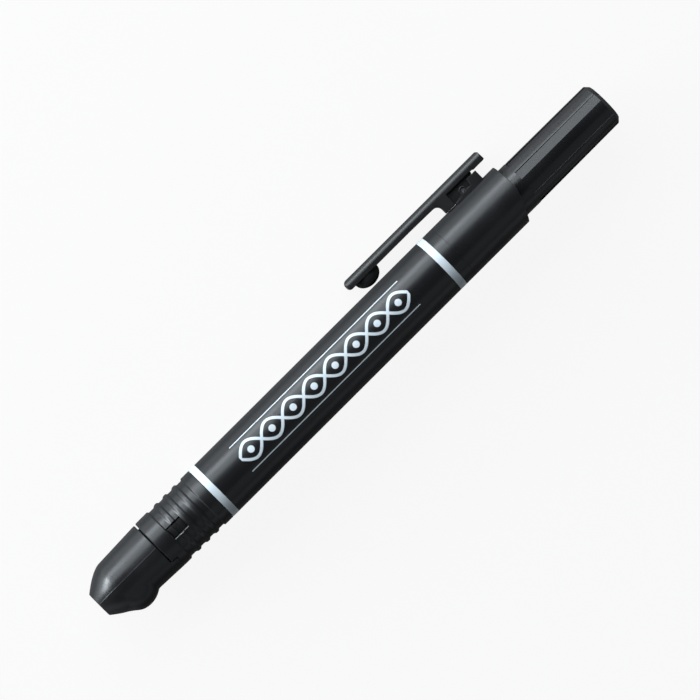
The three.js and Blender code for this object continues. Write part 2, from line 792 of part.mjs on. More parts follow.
// Ink chamber: a round-ended seat for the lid, a support flange and the bore in which the neck slides
function shutterChamber() {
	const seatRadius = lidInnerRadius - 2 * sealGap - gasketThickness;
	const flangeEnd = flangeX + flangeThickness;
	const front = sphereBand(seatRadius, chamberBore, chamberRadius, 2);
	const stepX = ringRearX + chamberStepWall;
	const tube = turned([
		...front,
		[flangeX, chamberRadius],
		[flangeX, flangeRadius],
		[flangeEnd, flangeRadius],
		[flangeEnd, chamberRadius],
		[stepX, chamberRadius],
		[stepX, chamberRearRadius],
		[chamberRearX, chamberRearRadius],
		[chamberRearX, neckBore],
		[boreStepX, neckBore],
		[boreStepX, chamberBore],
	], innerSides);
	const trunnions = platePair(circleShape(pivotX, 0, trunnionRadius), chamberRadius - chamberWall / 2,
		earOuter + slideGap);
	return joined([tube, trunnions, chamberLugs()]);
}

// Three lugs that centre the chamber inside the nose
function chamberLugs() {
	const half = lugHalfWidth;
	const outline = [[flangeX, -half], [flangeX + flangeThickness, -half], [flangeX + flangeThickness, half],
		[flangeX, half]];
	const outer = Math.sqrt((cavityRadius - slideGap) ** 2 - half ** 2) - slideGap;
	return roundAxis(outline, flangeRadius - chamberWall / 2, outer, 3, 0);
}

// Profile points on a sphere about the lid's pivot, between two distances from the axis
function sphereBand(radius, low, high, steps) {
	const points = [];
	for (let i = 0; i <= steps; i++) {
		const lateral = low + (high - low) * i / steps;
		points.push([pivotX - Math.sqrt(radius ** 2 - lateral ** 2), lateral]);
	}
	return points;
}

function shutterGasket() {
	const rear = lidInnerRadius - sealGap - gasketThickness;
	const low = chamberBore + sealGap;
	const high = chamberRadius - sealGap / 2;
	const front = sphereBand(rear + gasketThickness, low, high, 2);
	return turned([...front, ...sphereBand(rear, low, high, 2).reverse()], innerSides);
}

function shutterLid() {
	const steps = 4;
	const outer = arc(pivotX, 0, lidOuterRadius, 180, 180 - lidHalfAngle, steps);
	const inner = arc(pivotX, 0, lidInnerRadius, 180 - lidHalfAngle, 180, steps);
	const cap = turned([...outer, ...inner], innerSides);
	const ear = platePair(circleShape(pivotX, 0, earRadius), earInner, earOuter);
	const lobe = platePair(circleShape(crankX, crankZ, crankLobe), earInner, earOuter);
	const armEnd = pivotX - lidOuterRadius;
	const armShape = shapeOf([[armEnd, -lidArmHalfHeight], [pivotX, -lidArmHalfHeight], [pivotX, lidArmHalfHeight],
		[armEnd, lidArmHalfHeight]]);
	const arms = platePair(armShape, earInner, earOuter).intersect(ball(pivotX, 0, lidOuterRadius, smallSides));
	const pins = platePair(circleShape(crankX, crankZ, crankPinRadius), earOuter - slideGap, armOuter - slideGap);
	const holes = plate(circleShape(pivotX, 0, trunnionRadius + trunnionFit), -armOuter, armOuter);
	return joined([cap, ear, lobe, webs(), arms]).subtract(holes).add(pins);
}

// Webs between the ear of the lid and its crank lobe
function webs() {
	const half = crankLobe;
	const along = crankLead;
	const offsetX = half * Math.cos(along);
	const offsetZ = half * Math.sin(along);
	const outline = shapeOf([[pivotX - offsetX, offsetZ], [crankX - offsetX, crankZ + offsetZ],
		[crankX + offsetX, crankZ - offsetZ], [pivotX + offsetX, -offsetZ]]);
	return platePair(outline, earInner, earOuter);
}

// Carrier: a sprung ring whose two forked arms drive the crank pins of the lid
function shutterCarrier() {
	const bore = chamberRadius + sideGap;
	const ring = turned([[ringX, bore], [ringX, carrierRingOuter], [ringRearX, carrierRingOuter],
		[ringRearX, bore]], innerSides);
	const slotHalf = crankPinRadius + slotClearance;
	const slotFloor = crankZ - crankPinRadius - slotClearance;
	const armBottom = slotFloor - prongWall;
	const armFront = crankX - slotHalf - prongWall;
	const armBack = crankX + slotHalf + prongWall;
	const armLow = armTop - prongWall;
	const outline = shapeOf([[armFront, armBottom], [ringX + slideGap, armBottom], [ringX + slideGap, armLow],
		[armBack + prongWall, armLow], [armBack, armTop], [crankX + slotHalf, armTop], [crankX + slotHalf, slotFloor],
		[crankX - slotHalf, slotFloor], [crankX - slotHalf, armTop], [armFront, armTop]]);
	const arms = platePair(outline, armInner, armOuter);
	return ring.add(arms);
}

const blackPlastic = { color: 0x151517, roughness: 0.35, metalness: 0 };
const glossyBlack = { color: 0x101012, roughness: 0.2, metalness: 0 };
const whitePlastic = { color: 0xd9d8d2, roughness: 0.5, metalness: 0 };
const steel = { color: 0xb9bcc0, roughness: 0.3, metalness: 1 };
const rubber = { color: 0x2c2c2e, roughness: 0.8, metalness: 0 };
const fibre = { color: 0x26262b, roughness: 0.95, metalness: 0 };

const pieces = [
	['nose_shell', noseShell(), blackPlastic],
	['grip_sleeve', gripSleeve(), blackPlastic],
	['barrel_tube', barrelTube(), glossyBlack],
	['rear_collar', rearCollar(), blackPlastic],
	['knock_button', knockButton(), glossyBlack],
	['clip', clip(), blackPlastic],
	['clip_pin', clipPin(), steel],
	['clip_spring', clipSpring(), steel],
	['shutter_chamber', shutterChamber(), whitePlastic],
	['shutter_gasket', shutterGasket(), rubber],
	['shutter_lid', shutterLid(), whitePlastic],
	['shutter_carrier', shutterCarrier(), whitePlastic],
	['front_spring', frontSpring(), steel],
	['return_spring', returnSpring(), steel],
	['nib', nib(), fibre],
	['nib_holder', nibHolder(), whitePlastic],
	['neck_seal', neckSeal(), rubber],
	['reservoir_tube', reservoirTube(), whitePlastic],
	['ink_core', inkCore(), fibre],
	['reservoir_plug', reservoirPlug(), whitePlastic],
	['cam_rotor', camRotor(), whitePlastic],
];

const pen = new THREE.Group();
for (const [name, solid, finish] of pieces) {
	const mesh = new THREE.Mesh(geometryOf(solid), new THREE.MeshStandardMaterial(finish));
	mesh.name = name;
	pen.add(mesh);
}

// The pen lies on its barrel and on the nearer edge of its clip
function leanAngle() {
	const leans = clipSectionEdge().map(([y, z]) => Math.asin(barrelRadius / Math.hypot(y, z)) - Math.atan2(y, z));
	return Math.min(...leans);
}

const group = new THREE.Group();
group.add(pen);
pen.rotation.x = -(Math.PI / 2 + leanAngle());
pen.updateMatrixWorld(true);
const bounds = new THREE.Box3().setFromObject(pen, true);
const middle = bounds.getCenter(new THREE.Vector3());
pen.position.set(-middle.x, -middle.y, -bounds.min.z);

export default group;
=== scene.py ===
"""Looks of a retractable permanent marker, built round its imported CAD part.

Sizes in the classes are millimetres in the pen's own frame. There x runs from the nose tip to the knock
button, an angle of 0 points to the clip, 90 to the side that faces the camera and 180 to the chin.
"""

from __future__ import annotations

import json
import logging
import math
from dataclasses import dataclass, field
from enum import Enum
from typing import Callable, Iterable, Sequence, Union

import bmesh
import bpy
from bmesh.types import BMesh, BMVert
from bpy.types import Curve, Material, Node, NodeSocket, NodeTree, Object
from mathutils import Matrix, Vector
from mathutils.geometry import delaunay_2d_cdt

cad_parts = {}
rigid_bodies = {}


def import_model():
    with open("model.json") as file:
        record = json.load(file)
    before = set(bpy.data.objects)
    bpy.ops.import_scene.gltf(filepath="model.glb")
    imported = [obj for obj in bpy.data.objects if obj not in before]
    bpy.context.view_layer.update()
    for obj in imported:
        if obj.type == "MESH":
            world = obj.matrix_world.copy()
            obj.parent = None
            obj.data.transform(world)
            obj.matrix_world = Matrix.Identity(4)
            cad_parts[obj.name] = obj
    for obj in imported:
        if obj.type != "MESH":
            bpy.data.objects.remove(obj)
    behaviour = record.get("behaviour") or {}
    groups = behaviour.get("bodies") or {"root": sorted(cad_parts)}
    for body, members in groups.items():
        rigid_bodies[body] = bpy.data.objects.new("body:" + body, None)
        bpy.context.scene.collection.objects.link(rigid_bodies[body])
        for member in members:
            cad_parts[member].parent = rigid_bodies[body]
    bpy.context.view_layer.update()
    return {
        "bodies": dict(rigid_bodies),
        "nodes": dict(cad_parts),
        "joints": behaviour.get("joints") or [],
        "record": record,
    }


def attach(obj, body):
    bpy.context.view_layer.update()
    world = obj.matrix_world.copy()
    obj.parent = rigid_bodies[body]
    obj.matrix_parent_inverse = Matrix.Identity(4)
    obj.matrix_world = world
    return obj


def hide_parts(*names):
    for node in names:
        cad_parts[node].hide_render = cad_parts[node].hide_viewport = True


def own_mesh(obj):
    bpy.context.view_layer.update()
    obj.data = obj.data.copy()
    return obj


LOG = logging.getLogger("marker")
MM = 0.001
# Range of the cloud noise that a finish's gloss follows
CLOUDY = (0.3, 0.7)

Point = tuple[float, float]
Corner = tuple[float, float, float]
Colour = tuple[float, float, float]
Value = Union[float, Sequence[float], NodeSocket, "Number"]


class Body(Enum):
    """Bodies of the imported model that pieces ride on."""

    HOUSING = "housing"
    KNOCK = "knock"
    CARRIER = "carrier"
    CLIP = "clip"


class Slot(Enum):
    """Material slots of the record."""

    HOUSING = "housing_black"
    BARREL = "barrel_black"
    BUTTON = "button_black"
    CLIP = "clip_black"
    STEEL = "steel"
    WHITE = "white_plastic"
    RUBBER = "seal_rubber"
    FIBRE = "ink_fibre"


@dataclass(frozen=True)
class PenFrame:
    """How the pen lies in the row frame: on its barrel and on the nearer edge of its clip."""

    half_length: float = 72.5
    axis_y: float = -1.948
    axis_z: float = 6.504
    lean: float = math.radians(24.4202)

    def matrix(self) -> Matrix:
        """Transform from pen millimetres to row metres.

        Returns:
            A 4x4 matrix.
        """
        cos_lean, sin_lean = math.cos(self.lean), math.sin(self.lean)
        rows = (
            (1.0, 0.0, 0.0, -self.half_length),
            (0.0, -sin_lean, cos_lean, self.axis_y),
            (0.0, -cos_lean, -sin_lean, self.axis_z),
            (0.0, 0.0, 0.0, 1.0),
        )
        return Matrix.Scale(MM, 4) @ Matrix(rows)

    def direction(self, vector: Sequence[float]) -> Vector:
        """Turns a direction of the pen frame into the row frame.

        Args:
            vector: A direction in the pen frame.

        Returns:
            The unit vector in the row frame.
        """
        return (self.matrix().to_3x3() @ Vector(vector)).normalized()


PEN = PenFrame()
# Directions round the pen, in degrees
CLIP_SIDE, NEAR_SIDE, CHIN_SIDE, FAR_SIDE = 0.0, 90.0, 180.0, 270.0
FLANKS = (NEAR_SIDE, FAR_SIDE)
QUARTERS = (CLIP_SIDE, NEAR_SIDE, CHIN_SIDE, FAR_SIDE)
# Place of the clip hinge as (x, z), and length and depth of the chamfer at the end of a spigot
HINGE = (111.7, 7.604)
LEAD_IN = (0.4, 0.2)
# Length over which a profile steps, distance at which vertices merge, and a number next to nothing
STEP = 0.01
WELD = 1e-4
TINY = 1e-6


# Profiles


def rounded(corners: Sequence[Corner], steps: int = 3) -> list[Point]:
    """Rounds the corners of an open profile.

    Args:
        corners: Points as (x, radius, rounding), where a rounding of 0 stays sharp.
        steps: Segments for each rounded corner.

    Returns:
        The profile's points, of which there are always as many for the same roundings.
    """
    points: list[Point] = []
    for index, (x, radius, rounding) in enumerate(corners):
        if rounding == 0 or index in (0, len(corners) - 1):
            points.append((x, radius))
            continue
        here = Vector((x, radius))
        ends = []
        for other in (corners[index - 1], corners[index + 1]):
            way = Vector(other[:2]) - here
            ends.append(here + way.normalized() * min(rounding, 0.49 * way.length))
        for step in range(steps + 1):
            t = step / steps
            spot = ends[0] * (1 - t) ** 2 + here * 2 * t * (1 - t) + ends[1] * t ** 2
            points.append((spot.x, spot.y))
    return points


def spaced(low: float, high: float, count: int) -> list[float]:
    """Evenly spaced numbers from low to high, both included."""
    return [low + (high - low) * step / count for step in range(count + 1)]


def soft_max(first: float, second: float, blend: float) -> float:
    """Greater of two numbers, rounded over where they meet."""
    share = max(blend - abs(first - second), 0.0) / blend
    return max(first, second) + share * share * blend / 4


def soft_min(first: float, second: float, blend: float) -> float:
    """Smaller of two numbers, rounded over where they meet."""
    return -soft_max(-first, -second, blend)


def bezier(start: Point, control: Point, end: Point, x: float) -> float:
    """Height of a quadratic curve at a station.

    Args:
        start: First point of the curve.
        control: Its control point.
        end: Last point, at a greater x than the first.
        x: The station.

    Returns:
        The curve's second coordinate at x.
    """
    a = start[0] - 2 * control[0] + end[0]
    b = 2 * (control[0] - start[0])
    c = start[0] - x
    t = -c / b if abs(a) < 1e-9 else (-b + math.sqrt(max(b * b - 4 * a * c, 0.0))) / (2 * a)
    t = min(max(t, 0.0), 1.0)
    return start[1] * (1 - t) ** 2 + control[1] * 2 * t * (1 - t) + end[1] * t * t


def off_angle(angle: float, *centres: float) -> float:
    """Distance in degrees from a direction round the pen to the nearest of some others."""
    return min(abs((angle - centre + 180) % 360 - 180) for centre in centres)


def edges_of(half: float, *centres: float) -> list[float]:
    """Angles of both edges of a stretch that is as wide round each of some directions."""
    return [centre + side * half for centre in centres for side in (-1, 1)]


def arc(centre: Point, radius: float, angles: Iterable[float]) -> list[Point]:
    """Points of a circle at some angles, in degrees."""
    turns = [math.radians(angle) for angle in angles]
    return [(centre[0] + radius * math.cos(turn), centre[1] + radius * math.sin(turn)) for turn in turns]


def columns(count: int, steps_at: Iterable[float] = (), width: float = 0.4) -> list[float]:
    """Angles round the pen, with a close pair at each sudden change of the profile.

    Args:
        count: How many evenly spaced angles there are.
        steps_at: Angles where the profile changes suddenly.
        width: Angle between the two of a pair, in degrees.

    Returns:
        Sorted angles in degrees.
    """
    pairs = sorted({(at + side * width / 2) % 360 for at in steps_at for side in (-1, 1)})
    even = [360 * index / count for index in range(count)]
    clear = [angle for angle in even if not pairs or off_angle(angle, *pairs) > 2 * width]
    return sorted(clear + pairs)


# Meshes


@dataclass(frozen=True)
class Window:
    """Opening through a turned shell, by the indices of its grid."""

    first_column: int
    last_column: int
    first_row: int
    last_row: int
    inner_last_row: int

    @property
    def inner_first_row(self) -> int:
        """Row of the inside at the opening's rear end."""
        return self.inner_last_row - (self.last_row - self.first_row)

    def hides(self, column: int, row: int) -> bool:
        """Whether a face of the grid lies in the opening."""
        rows = (*range(self.first_row, self.last_row), *range(self.inner_first_row, self.inner_last_row))
        return row in rows and self.first_column <= column < self.last_column

    def line(self, mesh: BMesh, grid: list[list[BMVert]]) -> None:
        """Adds the walls of the opening.

        Args:
            mesh: The mesh that holds the shell.
            grid: Its vertices by column and row.
        """
        for column in (self.first_column, self.last_column):
            side = grid[column]
            for step in range(self.last_row - self.first_row):
                outer, inner = self.first_row + step, self.inner_last_row - step
                mesh.faces.new((side[outer], side[outer + 1], side[inner - 1], side[inner]))
        for outer, inner in ((self.first_row, self.inner_last_row), (self.last_row, self.inner_first_row)):
            for column in range(self.first_column, self.last_column):
                here, after = grid[column], grid[column + 1]
                mesh.faces.new((here[outer], after[outer], after[inner], here[inner]))


class Blank:
    """Mesh of one piece, built in the pen's millimetres and handed over in the row frame."""

    def __init__(self) -> None:
        """Starts an empty mesh."""
        self.mesh = bmesh.new()

    def shell(self, angles: Sequence[float], profile: Callable[[float], list[Point]], on_axis: bool = False,
              windows: Sequence[Window] = ()) -> None:
        """Adds a closed shell round the pen's axis.

        Args:
            angles: Directions of the profiles, in degrees.
            profile: Gives the closed run of (x, radius) points at an angle.
            on_axis: The run starts and ends on the axis instead of closing on itself.
            windows: Openings through the shell.
        """
        grid = []
        for angle in angles:
            turn = math.radians(angle)
            sine, cosine = math.sin(turn), math.cos(turn)
            grid.append([self.mesh.verts.new((x, -r * sine, r * cosine)) for x, r in profile(angle)])
        count = len(grid[0])
        for index, here in enumerate(grid):
            after = grid[(index + 1) % len(grid)]
            for row in range(count - 1 if on_axis else count):
                if any(window.hides(index, row) for window in windows):
                    continue
                below = (row + 1) % count
                self.mesh.faces.new((here[row], here[below], after[below], after[row]))
        for window in windows:
            window.line(self.mesh, grid)

    def plate(self, outline: Sequence[Point], low: float, high: float, holes: Sequence[Sequence[Point]] = (),
              edge: float = 0.06) -> None:
        """Adds a plate with softened edges, its outline in the pen's XZ plane.

        Args:
            outline: Its (x, z) points.
            low: Lowest y.
            high: Highest y.
            holes: Outlines of holes through it.
            edge: Rounding of its edges.
        """
        curve = bpy.data.curves.new("plate_outline", "CURVE")
        curve.dimensions = "2D"
        curve.fill_mode = "BOTH"
        curve.extrude = (high - low) / 2 - edge
        curve.bevel_depth = edge
        curve.bevel_resolution = 1
        curve.offset = -edge
        for loop in (outline, *holes):
            spline = curve.splines.new("POLY")
            spline.points.add(len(loop) - 1)
            for point, (x, z) in zip(spline.points, loop):
                point.co = (x, z, 0.0, 1.0)
            spline.use_cyclic_u = True
        middle = (low + high) / 2
        self.take(curve, Matrix(((1, 0, 0, 0), (0, 0, -1, middle), (0, 1, 0, 0), (0, 0, 0, 1))))

    def pair(self, outline: Sequence[Point], reach: Point, hole: float, edge: float) -> None:
        """Adds a plate with the hinge's hole and its mirror image on the other side of the pen.

        Args:
            outline: Its (x, z) points.
            reach: Its inner and outer distance from the middle plane.
            hole: Radius of the hole.
            edge: Rounding of its edges.
        """
        inner, outer = reach
        for low, high in ((inner, outer), (-outer, -inner)):
            self.plate(outline, low, high, [arc(HINGE, hole, range(0, 360, 15))], edge)

    def wire(self, points: Sequence[Sequence[float]], thickness: float) -> None:
        """Adds round wire along a path.

        Args:
            points: The path, in the pen frame.
            thickness: Diameter of the wire.
        """
        curve = bpy.data.curves.new("wire_path", "CURVE")
        curve.dimensions = "3D"
        curve.bevel_depth = thickness / 2
        curve.bevel_resolution = 2
        curve.use_fill_caps = True
        spline = curve.splines.new("POLY")
        spline.points.add(len(points) - 1)
        for point, place in zip(spline.points, points):
            point.co = (*place, 1.0)
        self.take(curve, Matrix.Identity(4))

    def take(self, curve: Curve, place: Matrix) -> None:
        """Turns a curve into mesh and adds it.

        Args:
            curve: The curve, which is used up.
            place: Its transform into the pen frame.
        """
        holder = bpy.data.objects.new(curve.name, curve)
        mesh = bpy.data.meshes.new_from_object(holder)
        mesh.transform(place)
        self.mesh.from_mesh(mesh)
        bpy.data.objects.remove(holder)
        bpy.data.meshes.remove(mesh)
        bpy.data.curves.remove(curve)

    def loops(self, rings: Sequence[Sequence[Vector]]) -> None:
        """Adds a closed solid through rings of as many points, its two end rings filled.

        Args:
            rings: The rings, in the pen frame.
        """
        grid = [[self.mesh.verts.new(point) for point in ring] for ring in rings]
        count = len(grid[0])
        for here, after in zip(grid, grid[1:]):
            for index in range(count):
                beside = (index + 1) % count
                self.mesh.faces.new((here[index], here[beside], after[beside], after[index]))
        self.fill(grid[0])
        self.fill(grid[-1])

    def fill(self, ring: Sequence[BMVert]) -> None:
        """Fills a flat ring with triangles, also where its outline is hollow.

        Args:
            ring: Its vertices in order, in a plane square to one of the axes.
        """
        sides = [[vert.co[axis] for vert in ring] for axis in range(3)]
        spans = [max(side) - min(side) for side in sides]
        kept = [axis for axis in range(3) if axis != spans.index(min(spans))]
        spots = [Vector(pair) for pair in zip(sides[kept[0]], sides[kept[1]])]
        _, _, faces, sources, *_ = delaunay_2d_cdt(spots, [], [list(range(len(ring)))], 1, TINY)
        for face in faces:
            self.mesh.faces.new([ring[sources[corner][0]] for corner in face])

    def finish(self, name: str, sharp: float = 40.0) -> Object:
        """Hands the mesh over as an object in the row frame.

        Args:
            name: Name of the piece.
            sharp: Edges steeper than this angle stay sharp, in degrees.

        Returns:
            The object, linked to the scene.
        """
        bmesh.ops.remove_doubles(self.mesh, verts=self.mesh.verts, dist=WELD)
        bmesh.ops.dissolve_degenerate(self.mesh, dist=WELD / 10, edges=self.mesh.edges)
        bmesh.ops.recalc_face_normals(self.mesh, faces=self.mesh.faces)
        self.mesh.transform(PEN.matrix())
        mesh = bpy.data.meshes.new(name)
        self.mesh.to_mesh(mesh)
        self.mesh.free()
        mesh.shade_smooth()
        mesh.set_sharp_from_angle(angle=math.radians(sharp))
        piece = bpy.data.objects.new(name, mesh)
        bpy.context.scene.collection.objects.link(piece)
        weighted = piece.modifiers.new("even_faces", "WEIGHTED_NORMAL")
        weighted.keep_sharp = True
        return piece


# Shader work


@dataclass(frozen=True)
class Number:
    """Number that the nodes of a tree work out, with the signs of arithmetic."""

    graph: Graph
    socket: NodeSocket

    def __add__(self, other: Value) -> Number:
        """Sum with another number."""
        return self.graph.math("ADD", self, other)

    def __sub__(self, other: Value) -> Number:
        """Difference from another number."""
        return self.graph.math("SUBTRACT", self, other)

    def __mul__(self, other: Value) -> Number:
        """Product with another number."""
        return self.graph.math("MULTIPLY", self, other)

    def __truediv__(self, other: Value) -> Number:
        """Quotient by another number."""
        return self.graph.math("DIVIDE", self, other)

    def __pow__(self, other: Value) -> Number:
        """Power of the number."""
        return self.graph.math("POWER", self, other)

    def __abs__(self) -> Number:
        """The number without its sign."""
        return self.graph.math("ABSOLUTE", self)


class Graph:
    """Adds and links the nodes of one tree."""

    def __init__(self, tree: NodeTree) -> None:
        """Works on the tree of a material, a world or a group."""
        self.tree = tree

    def add(self, kind: str, feeds: dict[str | int, Value] | None = None,
            **settings: object) -> Node:
        """Adds a node.

        Args:
            kind: The node's type name without its ShaderNode prefix.
            feeds: Numbers, colours or sockets for its inputs.
            **settings: Properties of the node.

        Returns:
            The new node.
        """
        node = self.tree.nodes.new(f"ShaderNode{kind}")
        for name, value in settings.items():
            setattr(node, name, value)
        for name, value in (feeds or {}).items():
            self.feed(node.inputs[name], value)
        return node

    def feed(self, socket: NodeSocket, value: Value) -> None:
        """Links a value to an input, or sets the input's own number.

        Args:
            socket: The input.
            value: What it takes.
        """
        source = value.socket if isinstance(value, Number) else value
        if isinstance(source, NodeSocket):
            self.tree.links.new(source, socket)
        else:
            socket.default_value = source

    def math(self, operation: str, first: Value, second: Value = 0.0, clamp: bool = False) -> Number:
        """Result of a Math node with two numbers."""
        node = self.add("Math", {0: first, 1: second}, operation=operation, use_clamp=clamp)
        return Number(self, node.outputs[0])

    def span(self, value: Value, low: float, high: float, to_low: float = 0.0, to_high: float = 1.0,
             smooth: bool = False) -> Number:
        """Maps a number from one range to another and holds it inside.

        Args:
            value: The number.
            low: Where the first range starts.
            high: Where it ends.
            to_low: Result at low.
            to_high: Result at high.
            smooth: Ease at both ends.

        Returns:
            The mapped number.
        """
        kind = "SMOOTHSTEP" if smooth else "LINEAR"
        feeds = {"Value": value, "From Min": low, "From Max": high, "To Min": to_low, "To Max": to_high}
        return Number(self, self.add("MapRange", feeds, interpolation_type=kind).outputs[0])

    def noise(self, place: Value, scale: Value, detail: float = 2.0, rough: float = 0.5) -> Number:
        """Strength of a noise texture."""
        feeds = {"Vector": place, "Scale": scale, "Detail": detail, "Roughness": rough}
        return Number(self, self.add("TexNoise", feeds).outputs["Fac"])

    def place(self) -> NodeSocket:
        """Place of the shaded point in the row frame."""
        return self.add("TexCoord").outputs["Object"]

    def drawn(self, along: float, across: float) -> NodeSocket:
        """Place scaled differently along and across the pen, for fibres and rub marks."""
        return self.add("Mapping", {"Vector": self.place(), "Scale": (along, across, across)}).outputs[0]

    def mix(self, share: Value, first: Colour | NodeSocket,
            second: Colour | NodeSocket) -> NodeSocket:
        """Mixes two colours.

        Args:
            share: Share of the second one.
            first: Colour at a share of 0.
            second: Colour at a share of 1.

        Returns:
            The mixed colour.
        """
        node = self.add("Mix", {0: share}, data_type="RGBA")
        for socket, colour in ((node.inputs[6], first), (node.inputs[7], second)):
            self.feed(socket, (*colour, 1.0) if isinstance(colour, tuple) else colour)
        return node.outputs[2]

    def group(self, tree: NodeTree, **values: float) -> dict[str, Number]:
        """Places a node group with its own values and gives its outputs by name."""
        node = self.add("Group", values, node_tree=tree)
        return {socket.name: Number(self, socket) for socket in node.outputs}


def new_group(name: str, inputs: dict[str, float],
              outputs: Sequence[str]) -> tuple[Graph, Node, Node]:
    """Starts a shader node group.

    Args:
        name: Name of the group.
        inputs: Its inputs with their usual values.
        outputs: Its outputs.

    Returns:
        Its graph, its input node and its output node.
    """
    tree = bpy.data.node_groups.new(name, "ShaderNodeTree")
    for title, usual in inputs.items():
        socket = tree.interface.new_socket(title, in_out="INPUT", socket_type="NodeSocketFloat")
        socket.default_value = usual
    for title in outputs:
        tree.interface.new_socket(title, in_out="OUTPUT", socket_type="NodeSocketFloat")
    return Graph(tree), tree.nodes.new("NodeGroupInput"), tree.nodes.new("NodeGroupOutput")


class Effects:
    """Shader effects that more than one finish uses, each a node group."""

    def __init__(self) -> None:
        """Builds the groups once."""
        self.place = self._place()
        self.grain = self._grain()
        self.handling = self._handling()

    def _place(self) -> NodeTree:
        """Builds the group for a point's station along the pen and its angle round it.

        Returns:
            The group.
        """
        graph, _, out = new_group("pen_place", {}, ("Along", "Angle"))
        spot = [Number(graph, socket) for socket in graph.add("SeparateXYZ", {0: graph.place()}).outputs]
        across = spot[1] / MM - PEN.axis_y
        height = spot[2] / MM - PEN.axis_z
        cosine, sine = math.cos(PEN.lean), math.sin(PEN.lean)
        clipward = across * cosine - height * sine
        viewward = across * sine + height * cosine
        graph.feed(out.inputs["Along"], spot[0] / MM + PEN.half_length)
        graph.feed(out.inputs["Angle"], graph.math("DEGREES", graph.math("ARCTAN2", viewward, clipward)))
        return graph.tree

    def _grain(self) -> NodeTree:
        """Builds the group for a moulded surface: fine texture as height, and a slow cloud for its gloss.

        Returns:
            The group.
        """
        graph, given, out = new_group("mould_grain", {"Scale": 2200.0, "Cloud": 90.0}, ("Height", "Cloud"))
        fine = graph.noise(graph.place(), given.outputs["Scale"], detail=2.0, rough=0.6)
        slow = graph.noise(graph.place(), given.outputs["Cloud"], detail=3.0, rough=0.55)
        graph.feed(out.inputs["Height"], fine * 0.7 + slow * 0.3)
        graph.feed(out.inputs["Cloud"], slow)
        return graph.tree

    def _handling(self) -> NodeTree:
        """Builds the group for faint rub marks that run along the pen, as a mask.

        Returns:
            The group.
        """
        graph, given, out = new_group("handling_marks", {"Amount": 0.5}, ("Marks",))
        hair = graph.noise(graph.drawn(along=60.0, across=2600.0), scale=1.0, detail=1.0)
        patch = graph.span(graph.noise(graph.place(), scale=120.0), low=0.45, high=0.65)
        marks = graph.span(hair, low=0.62, high=0.75) * patch
        marks = graph.math("MULTIPLY", marks, given.outputs["Amount"], clamp=True)
        graph.feed(out.inputs["Marks"], marks)
        return graph.tree


def new_material(name: str) -> tuple[Material, Graph, Node]:
    """Starts a material with its own Principled shader.

    Args:
        name: Name of the finish.

    Returns:
        The material, its graph and the shader node.
    """
    material = bpy.data.materials.new(name)
    material.use_nodes = True
    material.node_tree.nodes.clear()
    graph = Graph(material.node_tree)
    shader = graph.add("BsdfPrincipled")
    graph.add("OutputMaterial", {"Surface": shader.outputs[0]})
    return material, graph, shader


def coat(graph: Graph, shader: Node, colour: Value, roughness: Value, height: Value,
         depth: float) -> None:
    """Connects colour, roughness and bump to a shader.

    Args:
        graph: The material's graph.
        shader: Its shader node.
        colour: Base colour.
        roughness: Roughness.
        height: Height of the bump, from 0 to 1.
        depth: What a height of 1 stands for, in metres.
    """
    bump = graph.add("Bump", {"Height": height, "Distance": depth, "Strength": 1.0})
    for title, value in (("Base Color", colour), ("Roughness", roughness), ("Normal", bump.outputs[0])):
        graph.feed(shader.inputs[title], value)


def rim_softness(graph: Graph, amount: float) -> Number:
    """Extra roughness of a fine-grained surface where it is seen at a flat angle."""
    facing = graph.add("LayerWeight", {"Blend": 0.5}).outputs["Facing"]
    return graph.span(facing, 0.14, 0.5, 0.0, amount, smooth=True)


def tinted(colour: Colour, factor: float) -> Colour:
    """Colour made lighter or darker by a factor."""
    return tuple(channel * factor for channel in colour)


@dataclass(frozen=True)
class MouldedPlastic:
    """Injection-moulded plastic with a fine grain, slow clouds in its gloss and faint rub marks."""

    name: str
    colour: Colour
    lift: float = 1.5
    roughness: float = 0.3
    cloud: float = 0.06
    grain: float = 0.00001
    scale: float = 2200.0
    marks: float = 0.5
    rubbed: float = 0.12
    rim: float = 0.7

    def build(self, effects: Effects) -> Material:
        """Builds the material.

        Args:
            effects: The shared node groups.

        Returns:
            The material.
        """
        material, graph, shader = new_material(self.name)
        grain = graph.group(effects.grain, Scale=self.scale)
        marks = graph.group(effects.handling, Amount=self.marks)
        colour = graph.mix(grain["Cloud"], self.colour, tinted(self.colour, self.lift))
        rough = graph.span(grain["Cloud"], *CLOUDY, self.roughness - self.cloud, self.roughness + self.cloud)
        rough = rough + marks["Marks"] * self.rubbed + rim_softness(graph, self.rim)
        coat(graph, shader, colour, rough, grain["Height"], self.grain)
        return material


